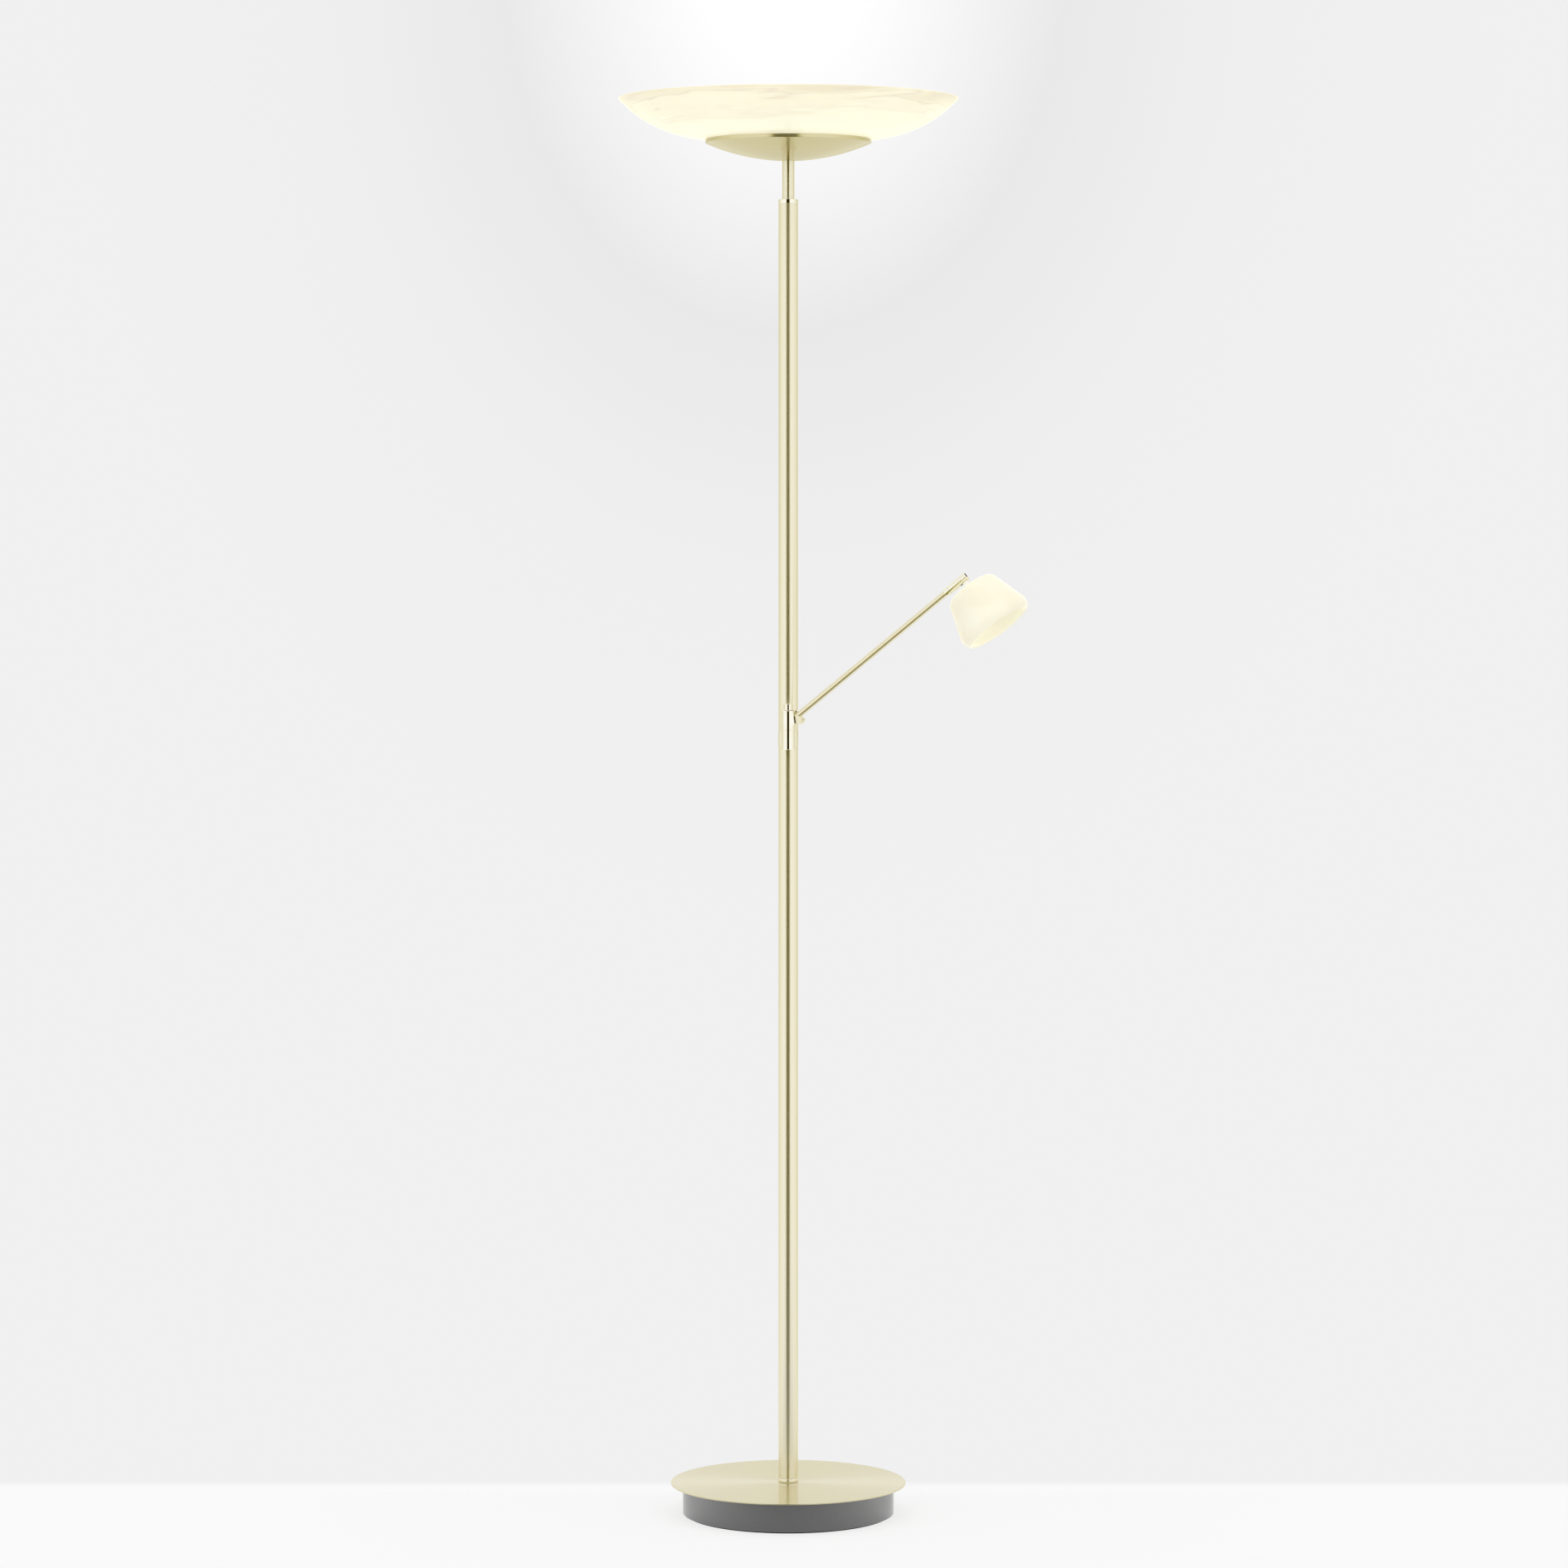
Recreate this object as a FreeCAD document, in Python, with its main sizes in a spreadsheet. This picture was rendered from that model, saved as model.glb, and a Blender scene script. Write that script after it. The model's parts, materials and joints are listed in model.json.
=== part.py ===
import FreeCAD, Part
import math
import os
import Sketcher

# Torchiere floor lamp with a swivelling reading light.
# Millimetres, +Z up. The origin is on the floor, on the axis of the pole, and the viewer is on the -Y side.

os.makedirs("parts", exist_ok=True)
doc = FreeCAD.newDocument("floor_lamp")
sheet = doc.addObject("Spreadsheet::Sheet", "Sizes")
sheet_row = 0


class Size:
    """A length that knows its number and the sheet expression that gives it."""

    def __init__(self, value, text):
        self.value = value
        self.text = text

    def join(self, other, sign, value):
        return Size(value, f"({self.text} {sign} {as_size(other).text})")

    def __add__(self, other):
        return self.join(other, "+", self.value + as_size(other).value)

    def __sub__(self, other):
        return self.join(other, "-", self.value - as_size(other).value)

    def __mul__(self, other):
        return self.join(other, "*", self.value * as_size(other).value)

    def __truediv__(self, other):
        return self.join(other, "/", self.value / as_size(other).value)


def as_size(number):
    return number if isinstance(number, Size) else Size(number, repr(number))


def root(size):
    return Size(math.sqrt(size.value), f"sqrt({size.text})")


def size(name, value):
    """Writes one driving dimension into the sheet and returns it."""
    global sheet_row
    sheet_row += 1
    sheet.set(f"A{sheet_row}", name)
    sheet.set(f"B{sheet_row}", str(value))
    sheet.setAlias(f"B{sheet_row}", name)
    return Size(value, f"Sizes.{name}")


ZERO = as_size(0)

# Fits that recur
running_fit = size("running_fit", 0.05)
seat_gap = size("seat_gap", 0.05)
turning_gap = size("turning_gap", 0.25)

# Base
foot_radius = size("foot_radius", 131)
foot_thickness = size("foot_thickness", 2)
drum_radius = size("drum_radius", 135)
drum_height = size("drum_height", 37.5)
drum_wall = size("drum_wall", 1.2)
drum_top_wall = size("drum_top_wall", 1.5)
plate_thickness = size("plate_thickness", 1.5)
plate_edge_gap = size("plate_edge_gap", 0.2)
ballast_radius = size("ballast_radius", 130)
ballast_height = size("ballast_height", 20.5)
ballast_recess_radius = size("ballast_recess_radius", 14)
ballast_recess_depth = size("ballast_recess_depth", 8.5)
cover_radius = size("cover_radius", 150)
cover_thickness = size("cover_thickness", 1.5)
plate_screw_count = 4
plate_screw_circle = size("plate_screw_circle", 110)
plate_screw_radius = size("plate_screw_radius", 2)
plate_screw_head_radius = size("plate_screw_head_radius", 4)
plate_screw_depth = size("plate_screw_depth", 10)
gland_flange_radius = size("gland_flange_radius", 6)
gland_body_radius = size("gland_body_radius", 4)
gland_bore_radius = size("gland_bore_radius", 3.4)
gland_flange_depth = size("gland_flange_depth", 2)
gland_nose_length = size("gland_nose_length", 6)
driver_length = size("driver_length", 90)
driver_width = size("driver_width", 36)
driver_height = size("driver_height", 12)
driver_foot_length = size("driver_foot_length", 8)
driver_foot_height = size("driver_foot_height", 2)
driver_offset = size("driver_offset", 70)
driver_screw_radius = size("driver_screw_radius", 1.6)
driver_screw_head_radius = size("driver_screw_head_radius", 3)
driver_screw_head_height = size("driver_screw_head_height", 2)
driver_screw_depth = size("driver_screw_depth", 8)

# Threaded tubes, nuts and washers
nipple_radius = size("nipple_radius", 5)
nipple_bore_radius = size("nipple_bore_radius", 3.4)
nut_flats = size("nut_flats", 16)
nut_height = size("nut_height", 6)
washer_thickness = size("washer_thickness", 1.5)
washer_radius = size("washer_radius", 12)
spacer_radius = size("spacer_radius", 9)

# Pole
pole_radius = size("pole_radius", 12.5)
pole_wall = size("pole_wall", 1.2)
foot_ring_height = size("foot_ring_height", 5)
foot_ring_radius = size("foot_ring_radius", 13)
foot_plug_height = size("foot_plug_height", 30)
lower_tube_length = size("lower_tube_length", 466.5)
middle_tube_length = size("middle_tube_length", 470.5)
upper_tube_length = size("upper_tube_length", 331)
top_tube_length = size("top_tube_length", 335)
coupler_length = size("coupler_length", 60)
coupler_bore_radius = size("coupler_bore_radius", 9)
top_plug_height = size("top_plug_height", 38)
collar_height = size("collar_height", 5.5)
collar_radius = size("collar_radius", 12.7)
cable_radius = size("cable_radius", 2.6)

# Pole connector and the swivel above it
connector_ring_height = size("connector_ring_height", 19)
connector_ring_radius = size("connector_ring_radius", 13)
connector_coupler_length = size("connector_coupler_length", 80)
barrel_radius = size("barrel_radius", 8.75)
barrel_offset = size("barrel_offset", 21.5)
barrel_drop = size("barrel_drop", 4)
lower_barrel_height = size("lower_barrel_height", 25)
barrel_floor = size("barrel_floor", 4)
barrel_bore_radius = size("barrel_bore_radius", 4)
bridge_width = size("bridge_width", 9)
cable_hole_radius = size("cable_hole_radius", 3)
cable_hole_drop = size("cable_hole_drop", 13)
spindle_radius = size("spindle_radius", 3)
spindle_bore_radius = size("spindle_bore_radius", 1.6)
spindle_seat_depth = size("spindle_seat_depth", 10)
spindle_flange_height = size("spindle_flange_height", 3)
swivel_nut_radius = size("swivel_nut_radius", 4.5)
swivel_nut_height = size("swivel_nut_height", 3)
grub_screw_radius = size("grub_screw_radius", 2)
grub_screw_length = size("grub_screw_length", 3.5)
upper_barrel_height = size("upper_barrel_height", 24.35)
barrel_base_wall = size("barrel_base_wall", 4.75)
chamber_radius = size("chamber_radius", 4.7)
barrel_edge = size("barrel_edge", 0.5)
dimmer_height = size("dimmer_height", 10)
dimmer_top_drop = size("dimmer_top_drop", 1.6)
knob_radius = size("knob_radius", 6.1)
knob_height = size("knob_height", 8.1)
knob_edge = size("knob_edge", 0.8)
knob_shaft_radius = size("knob_shaft_radius", 1.5)
knob_shaft_length = size("knob_shaft_length", 6.9)

# Tilting hinge of the arm
arm_turn_degrees = size("arm_turn_degrees", 22)
arm_rise_degrees = size("arm_rise_degrees", 38.14)
hinge_reach = size("hinge_reach", 14.5)
hinge_height = size("hinge_height", 12.65)
knuckle_radius = size("knuckle_radius", 5.2)
knuckle_half_width = size("knuckle_half_width", 4.3)
slot_side_gap = size("slot_side_gap", 0.2)
slot_floor = size("slot_floor", 6.95)
slot_start = size("slot_start", 5.3)
cheek_thickness = size("cheek_thickness", 3)
cheek_reach = size("cheek_reach", 11.3)
hinge_pin_radius = size("hinge_pin_radius", 2)
hinge_pin_nose = size("hinge_pin_nose", 3)
hinge_pin_head_radius = size("hinge_pin_head_radius", 3.4)
hinge_pin_head_height = size("hinge_pin_head_height", 1.5)

# Reading arm, from the hinge pin to the pin of the head
arm_length = size("arm_length", 284)
arm_offset = size("arm_offset", 5)
arm_radius = size("arm_radius", 4)
arm_wall = size("arm_wall", 0.8)
stub_back = size("stub_back", 0.5)
spigot_length = size("spigot_length", 12)
end_ring_start = size("end_ring_start", 29.3)
end_ring_length = size("end_ring_length", 6.9)
end_ring_radius = size("end_ring_radius", 5.3)
tube_seat_depth = size("tube_seat_depth", 3.5)
sleeve_radius = size("sleeve_radius", 5.5)
sleeve_nose = size("sleeve_nose", 5.6)
sleeve_edge = size("sleeve_edge", 0.6)
sleeve_bore_length = size("sleeve_bore_length", 9.3)
sleeve_cavity_radius = size("sleeve_cavity_radius", 4.6)
sleeve_cavity_length = size("sleeve_cavity_length", 3.6)
turning_spigot_radius = size("turning_spigot_radius", 3)
clip_radius = size("clip_radius", 4.4)
clip_thickness = size("clip_thickness", 0.8)
fork_slot_back = size("fork_slot_back", 7.5)
fork_slot_rise = size("fork_slot_rise", 3.9)
lug_half_thickness = size("lug_half_thickness", 2)
lug_half_width = size("lug_half_width", 3.5)
head_pin_radius = size("head_pin_radius", 1.5)

# Reading head, measured from its pin along the axis of the shade
holder_drop = size("holder_drop", 12.3)
holder_radius = size("holder_radius", 14)
holder_thickness = size("holder_thickness", 2)
holder_stem_radius = size("holder_stem_radius", 5)
holder_stem_length = size("holder_stem_length", 12)
shade_wall = size("shade_wall", 3.2)
shade_length = size("shade_length", 66)
shade_shoulder_radius = size("shade_shoulder_radius", 32.3)
shade_mouth_corner = size("shade_mouth_corner", 53)
shade_shoulder_round = size("shade_shoulder_round", 11.2)
shade_mouth_round = size("shade_mouth_round", 14.3)
shade_opening_radius = size("shade_opening_radius", 42.4)
shade_nut_radius = size("shade_nut_radius", 9)
shade_nut_height = size("shade_nut_height", 3)
reading_sink_radius = size("reading_sink_radius", 20)
reading_sink_height = size("reading_sink_height", 14)
reading_fin_count = 5
reading_fin_groove = size("reading_fin_groove", 1.2)
reading_fin_depth = size("reading_fin_depth", 3)
reading_board_radius = size("reading_board_radius", 15)
reading_board_thickness = size("reading_board_thickness", 1.2)
bezel_radius = size("bezel_radius", 23)
bezel_height = size("bezel_height", 12)
bezel_wall = size("bezel_wall", 1.6)
lens_thickness = size("lens_thickness", 2.4)

# Stem, dish and glass bowl at the top
stem_radius = size("stem_radius", 7.75)
stem_wall = size("stem_wall", 1.4)
stem_length = size("stem_length", 48.6)
stem_seat_depth = size("stem_seat_depth", 33)
stem_thread_depth = size("stem_thread_depth", 20)
dish_radius = size("dish_radius", 105)
dish_ball_radius = size("dish_ball_radius", 260)
dish_wall = size("dish_wall", 1.2)
dish_lip = size("dish_lip", 4.5)
dish_washer_radius = size("dish_washer_radius", 14)
seat_ring_width = size("seat_ring_width", 2.4)
post_radius = size("post_radius", 8)
bowl_radius = size("bowl_radius", 215)
bowl_wall = size("bowl_wall", 4)
bowl_floor_ball = size("bowl_floor_ball", 725)
bowl_side_ball = size("bowl_side_ball", 150)
bowl_turn_radius = size("bowl_turn_radius", 131)
bowl_hole_radius = size("bowl_hole_radius", 10)
bowl_rest_gap = size("bowl_rest_gap", 0.3)
cushion_radius = size("cushion_radius", 26)
sink_glass_gap = size("sink_glass_gap", 0.8)
sink_radius = size("sink_radius", 62)
sink_thickness = size("sink_thickness", 6)
board_radius = size("board_radius", 52)
board_thickness = size("board_thickness", 1.6)
board_hole_radius = size("board_hole_radius", 13)
board_screw_count = 3
board_screw_circle = size("board_screw_circle", 46)
board_screw_radius = size("board_screw_radius", 1.5)
board_screw_head_radius = size("board_screw_head_radius", 2.8)
board_screw_head_height = size("board_screw_head_height", 2)
diffuser_radius = size("diffuser_radius", 60)
diffuser_skirt = size("diffuser_skirt", 6)
diffuser_ball_radius = size("diffuser_ball_radius", 160)
diffuser_wall = size("diffuser_wall", 2)

# Heights that follow from these sizes, up the pole
drum_bottom = foot_thickness
drum_top = drum_bottom + drum_height
cover_top = drum_top + cover_thickness
plate_top = drum_bottom + plate_thickness
ballast_top = plate_top + ballast_height
recess_top = plate_top + ballast_recess_depth
foot_ring_top = cover_top + foot_ring_height
lower_tube_top = foot_ring_top + lower_tube_length
connector_bottom = lower_tube_top + middle_tube_length
connector_top = connector_bottom + connector_ring_height
upper_tube_top = connector_top + upper_tube_length
pole_top = upper_tube_top + top_tube_length
collar_top = pole_top + collar_height
dish_bottom = collar_top + stem_length
pole_inside = pole_radius - pole_wall
plug_radius = pole_inside - seat_gap


def ball_rise(ball, radius):
    """How far a ball's surface has risen above its lowest point at this radius."""
    return ball - root(ball * ball - radius * radius)


# Heights of the dish, the bowl and the light source
dish_inner_ball = dish_ball_radius - dish_wall
dish_depth = ball_rise(dish_ball_radius, dish_radius)
dish_lip_top = dish_bottom + dish_depth + dish_lip
bowl_bottom = dish_lip_top + bowl_rest_gap - ball_rise(bowl_floor_ball, dish_radius - dish_wall)
dish_floor = dish_bottom + dish_wall
dish_washer_bottom = dish_floor + ball_rise(dish_inner_ball, dish_washer_radius) + seat_gap
dish_nut_bottom = dish_washer_bottom + washer_thickness
dish_nut_top = dish_nut_bottom + nut_height
floor_inner = bowl_floor_ball - bowl_wall
cushion_bottom = bowl_bottom + bowl_wall + ball_rise(floor_inner, cushion_radius) + seat_gap
sink_bottom = bowl_bottom + bowl_wall + ball_rise(floor_inner, sink_radius) + sink_glass_gap
sink_top = sink_bottom + sink_thickness

# Heights of the reading light on its connector
barrel_bottom = connector_bottom - barrel_drop
swivel_split = barrel_bottom + lower_barrel_height
swivel_bottom = swivel_split + turning_gap
swivel_top = swivel_bottom + upper_barrel_height
slot_half_width = knuckle_half_width + slot_side_gap
cheek_outside = slot_half_width + cheek_thickness
arm_start = knuckle_radius + seat_gap
end_ring_bottom = arm_length - end_ring_start
end_ring_top = end_ring_bottom + end_ring_length
sleeve_bottom = end_ring_top + turning_gap
sleeve_top = arm_length + sleeve_nose
cavity_bottom = sleeve_bottom + sleeve_bore_length
glass_top = holder_drop + holder_thickness
glass_inside = glass_top + shade_wall
reading_sink_bottom = glass_inside + shade_nut_height
reading_board_bottom = reading_sink_bottom + reading_sink_height

# Frames: the lamp itself, the swivel, the arm and the reading head
turn = math.radians(arm_turn_degrees.value)
rise = math.radians(arm_rise_degrees.value)
outward = FreeCAD.Vector(math.cos(turn), -math.sin(turn), 0)
upward = FreeCAD.Vector(0, 0, 1)
front = outward.cross(upward)
arm_way = outward * math.cos(rise) + upward * math.sin(rise)
arm_up = upward * math.cos(rise) - outward * math.sin(rise)
barrel_place = FreeCAD.Vector(0, -barrel_offset.value, 0)
hinge_point = barrel_place + outward * hinge_reach.value + upward * (swivel_bottom + hinge_height).value
head_point = hinge_point + arm_way * arm_length.value + arm_up * arm_offset.value


def frame(origin, x_way, y_way, z_way):
    return FreeCAD.Placement(origin, FreeCAD.Rotation(x_way, y_way, z_way, "ZXY"))


LAMP = FreeCAD.Placement()
SWIVEL = frame(barrel_place, outward, upward.cross(outward), upward)
ARM = frame(hinge_point, arm_up, front, arm_way)
HEAD = frame(head_point, arm_way, front, arm_up * -1)

ALONG_Z = FreeCAD.Rotation()
ALONG_Y = FreeCAD.Rotation(FreeCAD.Vector(1, 0, 0), -90)


def put(item, home, x=ZERO, y=ZERO, z=ZERO, way=ALONG_Z):
    """Places an item in one of the frames; way turns its own Z axis first."""
    local = FreeCAD.Vector(as_size(x).value, as_size(y).value, as_size(z).value)
    item.Placement = home.multiply(FreeCAD.Placement(local, way))
    return item


def bind(item, **sizes):
    for name, value in sizes.items():
        item.setExpression(name, as_size(value).text)
    return item


def named(item, label):
    item.Label = label
    nodes.append(item)
    return item


nodes = []


def origin_plane(body, role):
    for feature in body.Origin.OriginFeatures:
        if feature.Role == role:
            return feature
    raise ValueError(role)


def arc_between(start, end, radius, left):
    """The short arc between two corners; left means that its centre lies left of the way."""
    first, last = (start, end) if left else (end, start)
    chord = last - first
    across = FreeCAD.Vector(-chord.y, chord.x, 0).normalize()
    centre = (first + last) / 2 + across * math.sqrt(radius * radius - chord.Length * chord.Length / 4)
    first_angle = math.atan2(first.y - centre.y, first.x - centre.x)
    last_angle = math.atan2(last.y - centre.y, last.x - centre.x)
    if last_angle < first_angle:
        last_angle += 2 * math.pi
    circle = Part.Circle(centre, FreeCAD.Vector(0, 0, 1), radius)
    return Part.ArcOfCircle(circle, first_angle, last_angle)


def outline_sketch(body, role, points):
    """A closed outline. A point is (across, up) and its line starts there, or
    (across, up, radius, left) where the way to the next point is an arc of that radius."""
    sketch = body.newObject("Sketcher::SketchObject", body.Name + "_outline")
    sketch.AttachmentSupport = [(origin_plane(body, role), "")]
    sketch.MapMode = "FlatFace"
    corners = [FreeCAD.Vector(as_size(p[0]).value, as_size(p[1]).value, 0) for p in points]
    count = len(points)
    firsts = []
    for index, point in enumerate(points):
        start = corners[index]
        end = corners[(index + 1) % count]
        if len(point) == 2:
            sketch.addGeometry(Part.LineSegment(start, end), False)
            firsts.append((1, 2))
            continue
        left = point[3]
        sketch.addGeometry(arc_between(start, end, as_size(point[2]).value, left), False)
        firsts.append((1, 2) if left else (2, 1))
    for index in range(count):
        following = (index + 1) % count
        sketch.addConstraint(
            Sketcher.Constraint("Coincident", index, firsts[index][1], following, firsts[following][0])
        )
    for index, point in enumerate(points):
        for kind, measure in (("DistanceX", point[0]), ("DistanceY", point[1])):
            number = as_size(measure).value
            if abs(number) < 1e-9:
                axis = -2 if kind == "DistanceX" else -1
                sketch.addConstraint(
                    Sketcher.Constraint("PointOnObject", index, firsts[index][0], axis)
                )
                continue
            which = sketch.addConstraint(
                Sketcher.Constraint(kind, -1, 1, index, firsts[index][0], number)
            )
            sketch.setExpression(f"Constraints[{which}]", as_size(measure).text)
        if len(point) > 2:
            which = sketch.addConstraint(
                Sketcher.Constraint("Radius", index, as_size(point[2]).value)
            )
            sketch.setExpression(f"Constraints[{which}]", as_size(point[2]).text)
    return sketch


def turned(name, points):
    """A body turned about its own Z axis from an outline of (radius, height) points."""
    body = doc.addObject("PartDesign::Body", name)
    sketch = outline_sketch(body, "XZ_Plane", points)
    revolution = body.newObject("PartDesign::Revolution", name + "_turned")
    revolution.Profile = sketch
    revolution.ReferenceAxis = (sketch, ["V_Axis"])
    revolution.Angle = 360
    body.Tip = revolution
    return body


def plate(name, points, thickness):
    """A flat plate in the XZ plane, as thick as given, half to each side of that plane."""
    body = doc.addObject("PartDesign::Body", name)
    sketch = outline_sketch(body, "XZ_Plane", points)
    pad = body.newObject("PartDesign::Pad", name + "_pad")
    pad.Profile = sketch
    pad.Midplane = True
    bind(pad, Length=thickness)
    body.Tip = pad
    return body


def rectangle(inside, outside, bottom, top):
    return [(inside, bottom), (outside, bottom), (outside, top), (inside, top)]


def tube(name, inside, outside, bottom, top):
    return turned(name, rectangle(inside, outside, bottom, top))


def rod(name, radius, height):
    return bind(doc.addObject("Part::Cylinder", name), Radius=radius, Height=height)


def block(name, length, width, height):
    return bind(doc.addObject("Part::Box", name), Length=length, Width=width, Height=height)


def cut(base, *tools):
    for tool in tools:
        made = doc.addObject("Part::Cut", base.Name + "_cut")
        made.Base = base
        made.Tool = tool
        base = made
    return base


def fused(*items):
    made = doc.addObject("Part::MultiFuse", items[0].Name + "_fused")
    made.Shapes = list(items)
    made.Refine = True
    return made


def group(name, items):
    made = doc.addObject("Part::Compound", name)
    made.Links = list(items)
    return made


def hex_nut(name, bottom):
    """A hexagon nut on the threaded tube."""
    blank = bind(
        doc.addObject("Part::Prism", name + "_blank"),
        Circumradius=nut_flats / root(as_size(3)),
        Height=nut_height,
    )
    blank.Polygon = 6
    put(blank, LAMP, z=bottom)
    thread = put(rod(name + "_thread", nipple_radius, nut_height), LAMP, z=bottom)
    return cut(blank, thread)


def ring_of(count, circle, make):
    """Puts count items on a circle about the lamp's axis; make(name_index, x, y) builds one."""
    items = []
    for index in range(count):
        angle = 2 * math.pi * (index + 0.5) / count
        items.append(make(index, circle.value * math.cos(angle), circle.value * math.sin(angle)))
    return items


# Foot pad: the felt disc that the lamp stands on, set back from the drum
named(turned("foot_pad_disc", rectangle(ZERO, foot_radius, ZERO, foot_thickness)), "foot_pad")


# Bottom plate with countersunk holes, and its screws
def plate_screw_shape(name, radius, head_radius, x, y):
    outline = [
        (ZERO, ZERO),
        (head_radius, ZERO),
        (radius, plate_thickness),
        (radius, plate_screw_depth),
        (ZERO, plate_screw_depth),
    ]
    return put(turned(name, outline), LAMP, x=x, y=y, z=drum_bottom)


def plate_screw(index, x, y):
    return plate_screw_shape(f"plate_screw_{index}", plate_screw_radius, plate_screw_head_radius, x, y)


def plate_screw_hole(index, x, y):
    return plate_screw_shape(
        f"plate_hole_{index}",
        plate_screw_radius + seat_gap,
        plate_screw_head_radius + seat_gap,
        x,
        y,
    )


bottom_blank = turned(
    "bottom_plate_disc",
    rectangle(ZERO, drum_radius - drum_wall - plate_edge_gap, drum_bottom, plate_top),
)
named(
    cut(bottom_blank, group("plate_holes", ring_of(plate_screw_count, plate_screw_circle, plate_screw_hole))),
    "bottom_plate",
)
named(group("plate_screws", ring_of(plate_screw_count, plate_screw_circle, plate_screw)), "bottom_plate_screws")


# Drum: a spun steel cup, open below, with a hole in its back wall for the cable gland
drum_blank = turned(
    "drum_shell",
    [
        (nipple_radius + running_fit, drum_top - drum_top_wall),
        (drum_radius - drum_wall, drum_top - drum_top_wall),
        (drum_radius - drum_wall, drum_bottom),
        (drum_radius, drum_bottom),
        (drum_radius, drum_top),
        (nipple_radius + running_fit, drum_top),
    ],
)
gland_height = ballast_top + gland_flange_radius + seat_gap
gland_hole = put(
    rod("gland_hole", gland_body_radius + seat_gap, gland_nose_length * 2),
    LAMP,
    y=drum_radius - gland_nose_length,
    z=gland_height,
    way=ALONG_Y,
)
named(cut(drum_blank, gland_hole), "base_drum")

# Ballast: a cast iron disc with a recess below for the nut and blind holes for the plate's screws
ballast_blank = turned(
    "ballast_disc",
    [
        (nipple_radius + running_fit, recess_top),
        (ballast_recess_radius, recess_top),
        (ballast_recess_radius, plate_top),
        (ballast_radius, plate_top),
        (ballast_radius, ballast_top),
        (nipple_radius + running_fit, ballast_top),
    ],
)


def ballast_screw_hole(index, x, y):
    hole = rod(f"ballast_hole_{index}", plate_screw_radius + seat_gap, plate_screw_depth)
    return put(hole, LAMP, x=x, y=y, z=drum_bottom + seat_gap)


driver_screw_reach = (driver_length + driver_foot_length) / 2


def driver_screw_places():
    return [(driver_offset - driver_screw_reach, 0), (driver_offset + driver_screw_reach, 1)]


ballast_tools = ring_of(plate_screw_count, plate_screw_circle, ballast_screw_hole)
driver_seat_top = ballast_top + driver_foot_height
for place_x, index in driver_screw_places():
    hole = rod(f"driver_screw_hole_{index}", driver_screw_radius + seat_gap, driver_screw_depth * 2)
    ballast_tools.append(put(hole, LAMP, x=place_x, z=driver_seat_top - driver_screw_depth))
named(cut(ballast_blank, group("ballast_holes", ballast_tools)), "ballast_weight")

# Driver of the light sources, on the ballast, held by a screw in each foot
driver_case = put(
    block("driver_case", driver_length, driver_width, driver_height),
    LAMP,
    x=driver_offset - driver_length / 2,
    y=ZERO - driver_width / 2,
    z=ballast_top,
)
driver_feet = put(
    block("driver_feet", driver_length + driver_foot_length * 2, driver_width, driver_foot_height),
    LAMP,
    x=driver_offset - driver_length / 2 - driver_foot_length,
    y=ZERO - driver_width / 2,
    z=ballast_top,
)
driver_holes = []
driver_screws = []
for place_x, index in driver_screw_places():
    hole = rod(f"driver_foot_hole_{index}", driver_screw_radius + seat_gap, driver_foot_height)
    driver_holes.append(put(hole, LAMP, x=place_x, z=ballast_top))
    screw = turned(
        f"driver_screw_{index}",
        [
            (ZERO, ZERO),
            (driver_screw_radius, ZERO),
            (driver_screw_radius, driver_screw_depth),
            (driver_screw_head_radius, driver_screw_depth),
            (driver_screw_head_radius, driver_screw_depth + driver_screw_head_height),
            (ZERO, driver_screw_depth + driver_screw_head_height),
        ],
    )
    driver_screws.append(put(screw, LAMP, x=place_x, z=driver_seat_top - driver_screw_depth))
named(cut(fused(driver_case, driver_feet), group("driver_foot_holes", driver_holes)), "led_driver")
named(group("driver_screw_pair", driver_screws), "driver_screws")

# Cable gland in the back of the drum: a bush with a flange on each side of the wall
drum_inside = drum_radius - drum_wall
gland_wall_inside = (
    root(drum_inside * drum_inside - gland_flange_radius * gland_flange_radius) - seat_gap
)
gland_grip = drum_radius + seat_gap - gland_wall_inside
gland = turned(
    "gland_bush",
    [
        (gland_bore_radius, ZERO),
        (gland_flange_radius, ZERO),
        (gland_flange_radius, gland_flange_depth),
        (gland_body_radius, gland_flange_depth),
        (gland_body_radius, gland_flange_depth + gland_grip),
        (gland_flange_radius, gland_flange_depth + gland_grip),
        (gland_body_radius, gland_flange_depth + gland_nose_length),
        (gland_bore_radius, gland_flange_depth + gland_nose_length),
    ],
)
named(
    put(
        gland,
        LAMP,
        y=gland_wall_inside - gland_flange_depth,
        z=gland_height,
        way=ALONG_Y,
    ),
    "cable_gland",
)

# Cover: the brushed brass disc that lies on the drum
named(
    turned(
        "cover_sheet",
        rectangle(nipple_radius + running_fit, cover_radius, drum_top, cover_top),
    ),
    "base_cover_disc",
)

# The threaded tube that draws pole, cover, drum and ballast together, with its nut, washer and spacer
base_nut_bottom = recess_top - washer_thickness - nut_height
base_nipple_top = foot_ring_top + foot_plug_height - pole_wall * 3
named(
    tube("base_thread", nipple_bore_radius, nipple_radius, base_nut_bottom, base_nipple_top),
    "base_threaded_tube",
)
named(hex_nut("base_hexagon", base_nut_bottom), "base_nut")
named(
    tube(
        "base_washer_ring",
        nipple_radius + running_fit,
        washer_radius,
        recess_top - washer_thickness,
        recess_top,
    ),
    "base_washer",
)
named(
    tube(
        "base_spacer_ring",
        nipple_radius + running_fit,
        spacer_radius,
        ballast_top,
        drum_top - drum_top_wall,
    ),
    "base_spacer",
)

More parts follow.
